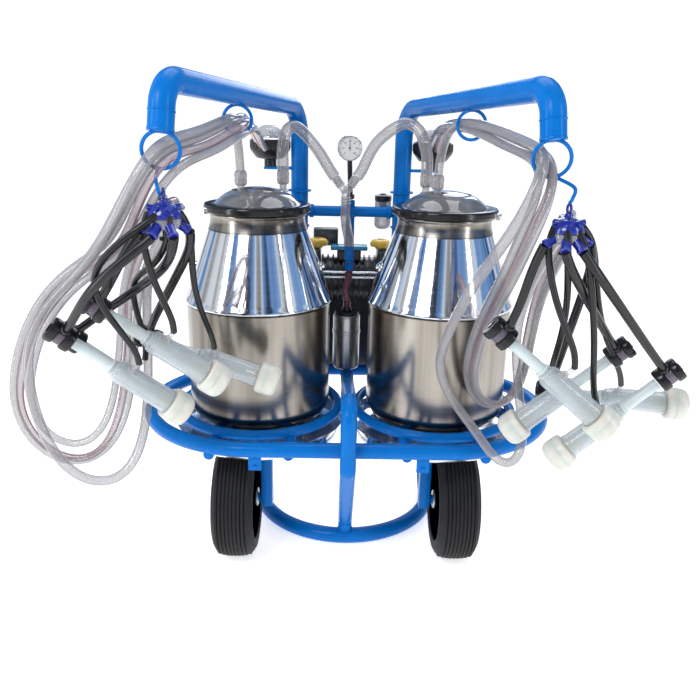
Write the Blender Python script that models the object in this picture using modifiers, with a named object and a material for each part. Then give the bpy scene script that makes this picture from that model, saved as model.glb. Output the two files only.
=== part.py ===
"""Two-can milking machine on a trolley: tube frame, cans, vacuum pump, pulsators and two clusters.

Metres, +Z up, front towards -Y. The origin is on the floor, under the middle of the machine.
"""

import math

import bmesh
import bpy
from mathutils import Vector

# Driving dimensions.
CAN_X = 0.200  # can axis from the middle plane
CAN_BASE_Z = 0.3120
CAN_RADIUS = 0.160
CAN_RIM_Z = 0.758
RAIL_RADIUS = 0.245  # platform rail round each can axis
RAIL_Z = 0.316
RAIL_TUBE = 0.016
HOOP_RADIUS = 0.178
HOOP_TUBE = 0.011
BEARER_X = (0.120, 0.280)
BEARER_Z = 0.300
PAN_RADIUS = 0.192
PAN_Z = 0.2625
HANDLE_TUBE = 0.020
UPRIGHT_X, UPRIGHT_Y = 0.120, 0.170
WHEEL_X, WHEEL_Y = 0.243, -0.105
WHEEL_RADIUS, WHEEL_WIDTH = 0.130, 0.088
RIM_RADIUS = 0.072
WHEEL_STEPS = 24
AXLE_RADIUS = 0.010
AXLE_BAR_Z = 0.249  # the crossbar of the cranked axle, close under the pans
STRUT_NEAR, STRUT_FAR = 0.165, 0.190
LOOP_RADIUS, LOOP_TUBE, LOOP_Y = 0.2125, 0.018, 0.130
MANIFOLD_Z, MANIFOLD_TUBE = 0.740, 0.0125
PUMP_Y, PUMP_Z, PUMP_RADIUS = 0.262, 0.560, 0.060
PULSATOR_X, PULSATOR_Z = 0.188, 0.846
MILK_HOSE, PULSE_HOSE, VACUUM_HOSE, SHORT_TUBE = 0.009, 0.007, 0.0125, 0.0075
GAP = 0.0003  # clearance between touching pieces
SHIFT = (-0.069, 0.083, 0.0)  # centres the machine's box on the origin

ROUND = 20
scene = bpy.context.scene

for old in list(bpy.data.objects):
    bpy.data.objects.remove(old, do_unlink=True)

machine = bpy.data.collections.new("milking_machine")
helpers = bpy.data.collections.new("cutters")
helpers.hide_render = True
for group in (machine, helpers):
    scene.collection.children.link(group)


def make_material(name, color, metallic, roughness, alpha=1.0):
    material = bpy.data.materials.new(name)
    material.use_nodes = True
    shader = material.node_tree.nodes["Principled BSDF"]
    shader.inputs["Base Color"].default_value = (*color, 1.0)
    shader.inputs["Metallic"].default_value = metallic
    shader.inputs["Roughness"].default_value = roughness
    shader.inputs["Alpha"].default_value = alpha
    return material


BLUE = make_material("blue_paint", (0.0, 0.20, 0.80), 0.0, 0.22)
STEEL = make_material("stainless", (0.78, 0.77, 0.75), 1.0, 0.10)
GALVANISED = make_material("galvanised", (0.62, 0.62, 0.60), 1.0, 0.35)
TYRE = make_material("tyre_rubber", (0.02, 0.02, 0.02), 0.0, 0.75)
RUBBER = make_material("black_rubber", (0.015, 0.015, 0.016), 0.0, 0.45)
BLACK = make_material("black_plastic", (0.02, 0.02, 0.025), 0.0, 0.35)
CLEAR = make_material("clear_plastic", (0.80, 0.80, 0.84), 0.0, 0.10, 0.45)
HOSE = make_material("clear_pvc", (0.62, 0.60, 0.64), 0.0, 0.18, 0.60)
SILICONE = make_material("milky_silicone", (0.85, 0.87, 0.84), 0.0, 0.35)
CLAW_BLUE = make_material("claw_plastic", (0.01, 0.03, 0.45), 0.0, 0.25)
DARK_IRON = make_material("pump_black", (0.03, 0.03, 0.035), 0.3, 0.40)
YELLOW = make_material("oil_cap_yellow", (0.85, 0.55, 0.05), 0.0, 0.30)


def finish(obj, material, group=machine):
    """Puts a new object in its collection with its material. A helper is hidden from the render."""
    for old_group in list(obj.users_collection):
        old_group.objects.unlink(obj)
    group.objects.link(obj)
    obj.data.materials.clear()
    obj.data.materials.append(material)
    if group is helpers:
        obj.hide_render = True
        obj.display_type = "WIRE"
    return obj


def smooth(mesh, angle=35):
    mesh.shade_smooth()
    mesh.set_sharp_from_angle(angle=math.radians(angle))


def filleted(corners, radius, pieces=5):
    """The corner points joined by straight runs, with each inner corner turned by an arc of the radius."""
    corners = [Vector(c) for c in corners]
    route = [corners[0]]
    for before, corner, after in zip(corners, corners[1:], corners[2:]):
        to_start = (before - corner).normalized()
        to_end = (after - corner).normalized()
        half = to_start.angle(to_end) / 2
        reach = radius / math.tan(half)
        middle = corner + (to_start + to_end).normalized() * radius / math.sin(half)
        first = corner + to_start * reach - middle
        last = corner + to_end * reach - middle
        turn = first.rotation_difference(last)
        for step in range(pieces + 1):
            part = turn.copy()
            part.angle = turn.angle * step / pieces
            route.append(middle + part @ first)
    route.append(corners[-1])
    return route


def smooth_route(points, spacing):
    """Points about the spacing apart, read from one smooth curve through the given points."""
    points = [Vector(p) for p in points]
    ends = [points[0] * 2 - points[1]] + points + [points[-1] * 2 - points[-2]]
    route = []
    for a, b, c, d in zip(ends, ends[1:], ends[2:], ends[3:]):
        count = max(1, round((c - b).length / spacing))
        for step in range(count):
            t = step / count
            square, cube = a * 2 - b * 5 + c * 4 - d, b * 3 - a - c * 3 + d
            route.append(0.5 * (b * 2 + (c - a) * t + square * t**2 + cube * t**3))
    return route + [points[-1]]


def tube_curve(name, route, radius, material, closed=False, sides=2):
    """A tube along the route, as a curve with a bevel and filled caps."""
    curve = bpy.data.curves.new(name, "CURVE")
    curve.dimensions = "3D"
    curve.bevel_depth = radius
    curve.bevel_resolution = sides
    curve.use_fill_caps = True
    spline = curve.splines.new("POLY")
    spline.points.add(len(route) - 1)
    for point, place in zip(spline.points, route):
        point.co = (*place, 1.0)
    spline.use_cyclic_u = closed
    obj = bpy.data.objects.new(name, curve)
    return finish(obj, material)


def tube_mesh(name, route, radius, material, closed=False, sides=2, group=machine):
    """The same tube as a welded mesh, which a Boolean can join or cut."""
    source = tube_curve(name + "_source", route, radius, material, closed, sides)
    bpy.context.view_layer.update()
    graph = bpy.context.evaluated_depsgraph_get()
    mesh = bpy.data.meshes.new_from_object(source.evaluated_get(graph))
    shape = bmesh.new()
    shape.from_mesh(mesh)
    bmesh.ops.remove_doubles(shape, verts=shape.verts, dist=1e-6)
    bmesh.ops.recalc_face_normals(shape, faces=shape.faces)
    shape.to_mesh(mesh)
    shape.free()
    bpy.data.objects.remove(source, do_unlink=True)
    obj = bpy.data.objects.new(name, mesh)
    smooth(mesh)
    return finish(obj, material, group)


def turned(name, profile, material, place=(0, 0, 0), axis=(0, 0, 1), steps=ROUND, group=machine, close=False):
    """A turned piece: (radius, height) points that run down the outer side, turned about the axis."""
    shape = bmesh.new()
    corners = [shape.verts.new((r, 0.0, z)) for r, z in profile]
    for a, b in zip(corners, corners[1:] + (corners[:1] if close else [])):
        shape.edges.new((a, b))
    mesh = bpy.data.meshes.new(name)
    shape.to_mesh(mesh)
    shape.free()
    obj = bpy.data.objects.new(name, mesh)
    screw = obj.modifiers.new("turn", "SCREW")
    screw.steps = screw.render_steps = steps
    screw.use_merge_vertices = True
    screw.merge_threshold = 0.0001
    screw.use_smooth_shade = True
    obj.location = place
    obj.rotation_mode = "QUATERNION"
    obj.rotation_quaternion = Vector(axis).to_track_quat("Z", "X")
    return finish(obj, material, group)


def cylinder(name, start, end, radius, material, steps=16, group=machine, end_radius=None):
    """A solid round bar, or a cone when the end radius differs."""
    start, end = Vector(start), Vector(end)
    top = radius if end_radius is None else end_radius
    length = (end - start).length
    profile = [(0, length), (top, length), (radius, 0), (0, 0)]
    return turned(name, profile, material, start, end - start, steps, group)


def box(name, low, high, material, group=machine, bevel=0.0):
    """A box between two corners, with softened edges if asked."""
    low, high = Vector(low), Vector(high)
    shape = bmesh.new()
    bmesh.ops.create_cube(shape, size=1.0)
    bmesh.ops.scale(shape, vec=high - low, verts=shape.verts)
    mesh = bpy.data.meshes.new(name)
    shape.to_mesh(mesh)
    shape.free()
    obj = bpy.data.objects.new(name, mesh)
    obj.location = (low + high) / 2
    if bevel:
        edge = obj.modifiers.new("edges", "BEVEL")
        edge.width = bevel
        edge.segments = 1
    return finish(obj, material, group)


def boolean(obj, other, operation="UNION"):
    modifier = obj.modifiers.new(operation.lower(), "BOOLEAN")
    modifier.operation = operation
    modifier.object = other
    return obj


def mirrored(side, point):
    return (side * point[0], *point[1:])


SIDES = (("left", -1), ("right", 1))


# Frame.
def racetrack(radius, height, pieces=8):
    """Half circles round both can axes, joined by straight runs."""
    route = []
    for side, start in ((1, -90), (-1, 90)):
        for step in range(pieces + 1):
            angle = math.radians(start + 180 * step / pieces)
            route.append((side * CAN_X + radius * math.cos(angle), radius * math.sin(angle), height))
    return route


def ring_route(centre, radius, normal, count):
    turn = Vector(normal).to_track_quat("Z", "Y")
    angles = [math.tau * step / count for step in range(count)]
    return [Vector(centre) + turn @ Vector((radius * math.cos(a), radius * math.sin(a), 0)) for a in angles]


def build_platform():
    frame = tube_mesh("platform_frame", racetrack(RAIL_RADIUS, RAIL_Z), RAIL_TUBE, BLUE, closed=True)
    for side_name, side in SIDES:
        hoop = ring_route((side * CAN_X, 0, 0.3155), HOOP_RADIUS, (0, 0, 1), 20)
        boolean(frame, tube_mesh("hoop_" + side_name, hoop, HOOP_TUBE, BLUE, closed=True, group=helpers))
        for number, x in enumerate(BEARER_X):
            reach = 0.240
            ends = [(side * x, -reach, BEARER_Z), (side * x, reach, BEARER_Z)]
            boolean(frame, tube_mesh(f"bearer_{side_name}_{number}", ends, HOOP_TUBE, BLUE, group=helpers))
    for side_name, side in SIDES:
        pan = [(0, 0.002), (PAN_RADIUS - 0.004, 0.002), (PAN_RADIUS - 0.002, 0.026), (PAN_RADIUS, 0.026)]
        pan += [(PAN_RADIUS - 0.002, 0), (0, 0)]
        turned("drip_pan_" + side_name, pan, STEEL, (side * CAN_X, 0, PAN_Z))


def build_floor_loop():
    top = PAN_Z - GAP
    arc = [math.radians(180 + 180 * step / 12) for step in range(13)]
    half = [(LOOP_RADIUS * math.cos(a), LOOP_Y + LOOP_RADIUS * math.sin(a), LOOP_TUBE) for a in arc]
    bend = 0.05
    turns = [math.radians(90 * step / 4) for step in range(4)]
    rise = [(LOOP_Y + bend * math.cos(a), LOOP_TUBE + bend - bend * math.sin(a)) for a in turns]
    legs = {side: [(side * LOOP_RADIUS, y, z) for y, z in rise] for _, side in SIDES}
    left = [(-0.190, 0.148, top), (-0.190, 0.148, 0.235), (-0.200, 0.165, 0.17)] + legs[-1]
    right = legs[1][::-1] + [(0.200, 0.165, 0.17), (0.190, 0.148, 0.235), (0.190, 0.148, top)]
    tube_mesh("floor_loop", left + half + right, LOOP_TUBE, BLUE)


def build_spine():
    corners = [(0, -0.0825, 0.0367), (0, -0.0850, 0.060), (0, -0.2775, 0.290), (0, -0.2775, 0.430)]
    corners += [(0, 0.050, 0.350), (0, 0.2262, 0.3257)]
    foot = filleted(corners[:3] + [corners[3]], 0.020, 3)
    bend = filleted([corners[2], corners[3], corners[4], corners[5]], 0.035, 3)
    tube_mesh("centre_post", foot[:-1] + bend[1:], RAIL_TUBE, BLUE)


def build_handles():
    for name, side in SIDES:
        corners = [(UPRIGHT_X, UPRIGHT_Y, 0.3268), (UPRIGHT_X, UPRIGHT_Y, 0.972), (0.286, -0.425, 1.000)]
        corners.append((0.291, -0.438, 0.925))
        route = [mirrored(side, p) for p in corners]
        rounded = filleted(route[:3], 0.075, 5)[:-1] + filleted(route[1:], 0.045, 4)[1:]
        handle = tube_mesh("handle_" + name, rounded, HANDLE_TUBE, BLUE)
        near = mirrored(side, (0.292, -0.438, 0.899))
        far = mirrored(side, (0.2145, -0.170, 0.943))
        wire = 0.0028
        rings = ((near, 0.028, (0.2 * side, 1, 0.2)), (far, 0.026, (0.3 * side, 1, 0)))
        for number, (centre, radius, normal) in enumerate(rings):
            route = ring_route(centre, radius, normal, 14)
            boolean(handle, tube_mesh(f"ring_{name}_{number}", route, wire, BLUE, True, 1, helpers))
        end_x = 0.294 if side < 0 else 0.322
        hook = [(0.299, -0.4335, 0.8730), (end_x + 0.006, -0.446, 0.858)]
        hook += [(end_x, -0.462, 0.843), (end_x, -0.452, 0.836)]
        hook_route = smooth_route([mirrored(side, p) for p in hook], 0.012)
        boolean(handle, tube_mesh("hook_" + name, hook_route, wire, BLUE, sides=1, group=helpers))
        low = (min(side * 0.115, side * 0.202), UPRIGHT_Y - 0.014, PULSATOR_Z - 0.012)
        high = (max(side * 0.115, side * 0.202), UPRIGHT_Y + 0.014, PULSATOR_Z - 0.006)
        boolean(handle, box("bracket_" + name, low, high, BLUE, helpers))


def build_manifold():
    reach = UPRIGHT_X - HANDLE_TUBE - GAP
    y = UPRIGHT_Y
    cross = [(-reach, y, MANIFOLD_Z), (reach, y, MANIFOLD_Z)]
    pipe = tube_mesh("vacuum_manifold", cross, MANIFOLD_TUBE, BLUE, sides=3)
    drop = tube_mesh("drop_pipe", [(0, y, 0.600), (0, y, 0.766)], 0.0105, BLUE, sides=3, group=helpers)
    bend = filleted([(0, y, 0.625), (-0.003, 0.140, 0.625), (-0.003, 0.140, 0.662)], 0.014, 4)
    inlet = tube_mesh("inlet", bend, 0.0085, BLUE, sides=3, group=helpers)
    boolean(boolean(pipe, drop), inlet)


# Wheels.
def build_wheels():
    reach = WHEEL_X + WHEEL_WIDTH / 2 + 0.012
    centre_z = WHEEL_RADIUS
    bar_end = (STRUT_NEAR + STRUT_FAR) / 2
    left, right = (-bar_end, WHEEL_Y, AXLE_BAR_Z), (bar_end, WHEEL_Y, AXLE_BAR_Z)
    axle = cylinder("axle", left, right, AXLE_RADIUS, BLUE)
    for name, side in SIDES:
        near, far = sorted((side * STRUT_NEAR, side * STRUT_FAR))
        low, high = (near, WHEEL_Y - 0.016, centre_z - 0.016), (far, WHEEL_Y + 0.016, PAN_Z - GAP)
        boolean(axle, box("strut_" + name, low, high, BLUE, helpers))
        root, tip = (side * (STRUT_NEAR + 0.005), WHEEL_Y, centre_z), (side * reach, WHEEL_Y, centre_z)
        boolean(axle, cylinder("stub_" + name, root, tip, AXLE_RADIUS, GALVANISED, group=helpers))
        centre = (side * WHEEL_X, WHEEL_Y, centre_z)
        half = WHEEL_WIDTH / 2
        inner = AXLE_RADIUS + 0.0006
        rim = [(inner, half), (0.020, half), (0.020, 0.010), (RIM_RADIUS - 0.012, 0.010)]
        rim += [(RIM_RADIUS - 0.008, half - 0.010)]
        rim += [(RIM_RADIUS, half - 0.006), (RIM_RADIUS, -half + 0.006), (RIM_RADIUS - 0.008, -half + 0.010)]
        rim += [(RIM_RADIUS - 0.012, -0.010), (0.020, -0.010), (0.020, -half), (inner, -half)]
        turned("wheel_rim_" + name, rim, GALVANISED, centre, (1, 0, 0), WHEEL_STEPS, close=True)
        seat, tread = RIM_RADIUS + GAP, WHEEL_RADIUS
        tyre = [(seat, 0.034), (tread - 0.024, 0.044), (tread - 0.006, 0.034), (tread, 0.018)]
        tyre += [(r, -h) for r, h in reversed(tyre)]
        turned("tyre_" + name, tyre, TYRE, centre, (1, 0, 0), WHEEL_STEPS, close=True)


# Cans.
def build_cans():
    wall = 0.0015
    for name, side in SIDES:
        body = CAN_RADIUS - 0.003
        outer = [(0.1035, CAN_RIM_Z), (0.1005, 0.746), (0.104, 0.722), (body, 0.578)]
        outer += [(CAN_RADIUS + 0.001, 0.571), (body, 0.564), (body, 0.335)]
        outer += [(0.146, CAN_BASE_Z), (0, CAN_BASE_Z)]
        inner = [(0.099, CAN_RIM_Z), (0.102 - wall, 0.722), (body - wall, 0.574), (body - wall, 0.335)]
        inner += [(0.145, CAN_BASE_Z + wall), (0, CAN_BASE_Z + wall)]
        can = turned("can_" + name, inner[::-1] + outer, STEEL, (side * CAN_X, 0, 0), steps=28)
        for end in (-1, 1):
            start = Vector((side * CAN_X + end * 0.1330, 0, 0.640))
            stop = start + Vector((end * 0.0050, 0, 0))
            boolean(can, cylinder(f"ear_{name}_{end}", start, stop, 0.009, STEEL, 12, helpers))
        arc = [math.radians(180 * step / 10) for step in range(1, 10)]
        bail = [(BAIL_RADIUS * math.cos(a), BAIL_RADIUS * math.sin(a)) for a in arc]
        bail = [(BAIL_RADIUS, 0), (BAIL_RADIUS, 0.016)] + bail + [(-BAIL_RADIUS, 0.016), (-BAIL_RADIUS, 0)]
        bail = [(side * CAN_X + x, y, BAIL_Z) for x, y in bail]
        tube_curve("can_bail_" + name, bail, 0.0026, STEEL)
        build_lid(name, side)


BAIL_RADIUS, BAIL_Z = 0.1412, 0.640
LID_NOZZLES = {"left": ((-0.148, 0.030), (-0.232, -0.020)), "right": ((0.160, 0.030), (0.178, -0.024))}
NOZZLE_TOP = 0.838
NOZZLE_TUBE = 0.0075


def build_lid(name, side):
    base = CAN_RIM_Z + GAP
    dome = [(0, 0.050), (0.036, 0.047), (0.068, 0.035), (0.090, 0.018), (0.113, 0.016), (0.113, 0.0)]
    dome += [(0.098, 0.0), (0.086, 0.016), (0.064, 0.033), (0.034, 0.044), (0, 0.047)]
    lid = turned("lid_" + name, dome, CLEAR, (side * CAN_X, 0, base), steps=24)
    for number, (x, y) in enumerate(LID_NOZZLES[name]):
        low, high = (x, y, 0.797), (x, y, NOZZLE_TOP)
        boolean(lid, cylinder(f"nozzle_{name}_{number}", low, high, NOZZLE_TUBE, CLEAR, 10, helpers))


# Vacuum pump, tank, gauge and pulsators.
def build_pump():
    y, z = PUMP_Y, PUMP_Z
    half, bore = 0.070, 0.036
    fins = []
    count = 5
    for fin in range(count):
        place = half - 0.004 - fin * (2 * half - 0.008) / (count - 1)
        fins += [(PUMP_RADIUS - 0.008, place + 0.004), (PUMP_RADIUS, place + 0.003)]
        fins += [(PUMP_RADIUS, place - 0.003), (PUMP_RADIUS - 0.008, place - 0.004)]
    shell = [(bore, half)] + fins + [(bore, -half)]
    housing = turned("pump_motor", shell, DARK_IRON, (0, y, z), (1, 0, 0), 16, close=True)
    low, high = (-0.055, 0.2290, 0.3327), (0.055, y, z - 0.035)
    boolean(housing, box("motor_foot", low, high, DARK_IRON, helpers))
    rotor = [(0, 0.068), (0.007, 0.068), (0.007, 0.050), (0.033, 0.050)]
    rotor += [(r, -h) for r, h in reversed(rotor)]
    turned("motor_rotor", rotor, GALVANISED, (0, y, z), (1, 0, 0), 12)
    for name, side in SIDES:
        near, far = side * (half + 0.0005), side * 0.116
        low = (min(near, far), y - 0.048, z - 0.050)
        high = (max(near, far), y + 0.048, z + 0.080)
        box("pump_head_" + name, low, high, DARK_IRON, bevel=0.008)
        cap = [(0, 0.022), (0.018, 0.022), (0.024, 0.016), (0.024, 0.006), (0.012, 0.006), (0.012, 0), (0, 0)]
        turned("intake_cap_" + name, cap, YELLOW, (side * 0.078, y - 0.018, z + 0.080 + GAP), steps=14)


def build_tank():
    shell = [(0, 0.150), (0.012, 0.150), (0.012, 0.140), (0.028, 0.140)]
    shell += [(0.032, 0.134), (0.032, 0.004), (0.029, 0), (0, 0)]
    turned("vacuum_tank", shell, GALVANISED, (-0.004, 0.120, 0.3685), steps=16)
    start, end = Vector((0, UPRIGHT_Y, 0.600 - GAP)), Vector((-0.004, 0.120, 0.5185 + GAP))
    lead, middle = start - Vector((0, 0, 0.015)), Vector((-0.008, 0.142, 0.552))
    route = [start, lead, middle, end + Vector((0, 0, 0.016)), end]
    tube_curve("tank_hose", smooth_route(route, 0.014), 0.0085, RUBBER)
    trap = [(0, 0.086), (0.014, 0.084), (0.020, 0.076), (0.020, 0.014), (0.012, 0.002), (0, 0)]
    turned("moisture_trap", trap, CLEAR, (0.079, 0.2035, 0.694), steps=14)


def build_gauge():
    x, y, z = -0.004, 0.176, 0.884
    case = [(0, 0.024), (0.022, 0.024), (0.029, 0.018), (0.029, 0.0)]
    case += [(0.026, -0.002), (0.026, 0.003), (0, 0.003)]
    body = turned("vacuum_gauge", case, BLACK, (x, y, z), (0, 1, 0), 20)
    low, high = (0, 0.187, 0.766 + GAP), (x, 0.187, z - 0.020)
    boolean(body, cylinder("gauge_stem", low, high, 0.006, BLACK, 10, helpers))
    needle = box("gauge_needle", (-0.0012, -0.0004, -0.006), (0.0012, 0.0004, 0.019), RUBBER)
    needle.location = (x, y + 0.0015, z)
    for vertex in needle.data.vertices:
        vertex.co.z += 0.0065


def build_pulsators():
    for name, side in SIDES:
        body = [(0, 0.086), (0.022, 0.082), (0.038, 0.060), (0.046, 0.054), (0.046, 0.030), (0.032, 0.014)]
        body += [(0.014, 0.010), (0.014, -0.0055), (0, -0.0055)]
        place = (side * PULSATOR_X, UPRIGHT_Y, PULSATOR_Z)
        pulsator = turned("pulsator_" + name, body, BLACK, place, steps=16)
        spout = PULSE_SPOUT[name]
        root = (spout[0], UPRIGHT_Y, spout[2])
        boolean(pulsator, cylinder("spout_" + name, root, spout, 0.0055, BLACK, 10, helpers))


PULSE_SPOUT = {"left": (-0.202, 0.118, 0.888), "right": (0.190, 0.118, 0.888)}


# Hoses held between two fittings.
Y_CENTRE = Vector((-0.012, 0.105, 0.790))
Y_ARMS = {"left": Vector((-0.036, 0.104, 0.822)), "right": Vector((0.012, 0.104, 0.824))}
Y_FOOT = Vector((-0.012, 0.105, 0.762))


def build_y_piece():
    body = tube_mesh("y_piece", [Y_CENTRE + Vector((0, 0, 0.004)), Y_FOOT], 0.0095, CLEAR, sides=3)
    for name, end in Y_ARMS.items():
        boolean(body, tube_mesh("y_arm_" + name, [Y_CENTRE, end], 0.0085, CLEAR, sides=3, group=helpers))
    foot = Vector((-0.003, 0.140, 0.662 + GAP))
    drops = [Y_FOOT - Vector((0, 0, drop)) for drop in (GAP, 0.008, 0.030)]
    route = drops + [(-0.008, 0.128, 0.705), foot + Vector((0, 0, 0.018)), foot + Vector((0, 0, 0.006)), foot]
    tube_curve("main_vacuum_hose", smooth_route(route, 0.018), 0.0115, HOSE, sides=3)


ARCH_TOPS = {
    "left": ((-0.148, 0.032, 0.885), (-0.140, 0.045, 0.922), (-0.118, 0.062, 0.928), (-0.080, 0.086, 0.888)),
    "right": ((0.158, 0.034, 0.885), (0.140, 0.048, 0.930), (0.106, 0.066, 0.940), (0.054, 0.090, 0.900)),
}


def build_arches():
    for name, side in SIDES:
        x, y = LID_NOZZLES[name][0]
        away = (Y_ARMS[name] - Y_CENTRE).normalized()
        start = Vector((x, y, NOZZLE_TOP + GAP))
        end = Y_ARMS[name] + away * GAP
        route = [start, start + Vector((0, 0, 0.02)), *ARCH_TOPS[name], end + away * 0.018, end]
        tube_curve("arch_hose_" + name, smooth_route(route, 0.026), VACUUM_HOSE, HOSE, sides=3)


# Clusters.
CLAWS = {"left": Vector((-0.290, -0.448, 0.806)), "right": Vector((0.324, -0.448, 0.796))}
CLAW_ARMS = {
    "left": (
        (-0.034, -0.016, -0.024), (-0.012, -0.036, -0.030), (0.020, -0.032, -0.030), (0.036, 0.006, -0.026),
    ),
    "right": (
        (-0.036, -0.012, -0.024), (-0.010, -0.036, -0.030), (0.018, -0.032, -0.030), (0.038, -0.004, -0.024),
    ),
}
MILK_PORT = Vector((0.0, 0.030, -0.016))  # where the long milk hose joins the claw
PULSE_PORT = Vector((0.0, 0.030, 0.012))

# Each cup's tail and head centre; the profile sits on that axis.
CUPS = {
    "left_1": ((-0.427, -0.400, 0.648), (-0.241, -0.350, 0.505)),
    "left_2": ((-0.480, -0.400, 0.594), (-0.310, -0.345, 0.446)),
    "left_3": ((-0.478, -0.335, 0.560), (-0.335, -0.265, 0.414)),
    "left_4": ((-0.385, -0.250, 0.548), (-0.156, -0.260, 0.472)),
    "right_1": ((0.217, -0.385, 0.638), (0.432, -0.420, 0.461)),
    "right_2": ((0.503, -0.330, 0.580), (0.312, -0.300, 0.398)),
    "right_3": ((0.568, -0.372, 0.545), (0.388, -0.350, 0.369)),
    "right_4": ((0.390, -0.250, 0.452), (0.622, -0.285, 0.445)),
}
CUP_TAIL = 0.262  # from the head centre back to the end of the connector
COUPLER_REACH, COUPLER_RADIUS = 0.237, 0.0215  # the connector's middle, where its tube joins from the side
LINER_BORE, LINER_DEPTH = 0.0115, 0.110


def cup_axis(name):
    tail, head = (Vector(p) for p in CUPS[name])
    return head, (head - tail).normalized()


def build_cups():
    profile = [(0, -LINER_DEPTH), (LINER_BORE, -LINER_DEPTH), (LINER_BORE, 0.020)]
    profile += [(0.022, 0.020), (0.031, 0.008), (0.031, -0.018), (0.0225, -0.022), (0.0205, -0.128)]
    profile += [(0.0105, -0.136), (0.0105, -0.214), (COUPLER_RADIUS, -0.216), (COUPLER_RADIUS, -0.259)]
    profile += [(0.008, -CUP_TAIL), (0, -CUP_TAIL)]
    for name in CUPS:
        head, direction = cup_axis(name)
        turned("teat_cup_" + name, profile, SILICONE, head, direction, 12)


def build_claws():
    for name, side in SIDES:
        centre = CLAWS[name]
        body = [(0, 0.026), (0.006, 0.026), (0.008, 0.016), (0.018, 0.014), (0.025, 0.000)]
        body += [(0.025, -0.016), (0.018, -0.024), (0, -0.024)]
        claw = turned("claw_" + name, body, CLAW_BLUE, centre, steps=12)
        for number, reach in enumerate(CLAW_ARMS[name]):
            tip = centre + Vector(reach)
            arm = cylinder(f"claw_arm_{name}_{number}", centre, tip, 0.0085, CLAW_BLUE, 8, helpers, 0.0065)
            boolean(claw, arm)
        for port, offset in (("milk", MILK_PORT), ("pulse", PULSE_PORT)):
            start = centre + Vector((0, 0.010, offset.z))
            stop = centre + offset
            boolean(claw, cylinder(f"{port}_port_{name}", start, stop, 0.006, CLAW_BLUE, 8, helpers))
        knob = [(0, 0), (0.0045, 0), (0.0045, -0.010), (0.010, -0.010), (0.010, -0.016), (0, -0.016)]
        turned("claw_button_" + name, knob, BLACK, centre - Vector((0, 0, 0.024 + GAP)), steps=10)


# Points that a tube passes on its way, where another cup is in the straight line from claw to coupler.
SHORT_TUBE_WAY = {
    "left_2": [(-0.395, -0.482, 0.702)],
    "left_3": [(-0.300, -0.425, 0.735), (-0.372, -0.348, 0.665)],
}


def build_short_tubes():
    for name, side in SIDES:
        for number, reach in enumerate(CLAW_ARMS[name]):
            cup = f"{name}_{number + 1}"
            away = Vector(reach).normalized()
            start = CLAWS[name] + Vector(reach) + away * GAP
            way = [Vector(p) for p in SHORT_TUBE_WAY.get(cup, [])]
            head, direction = cup_axis(cup)
            coupler = head - direction * COUPLER_REACH
            towards = (way[-1] if way else start) - coupler
            square = (towards - direction * towards.dot(direction)).normalized()
            end = coupler + square * (COUPLER_RADIUS + GAP)
            route = [start, start + away * 0.012, *way, end + square * 0.014, end]
            tube_curve("short_tube_" + cup, smooth_route(route, 0.030), SHORT_TUBE, RUBBER)


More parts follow.
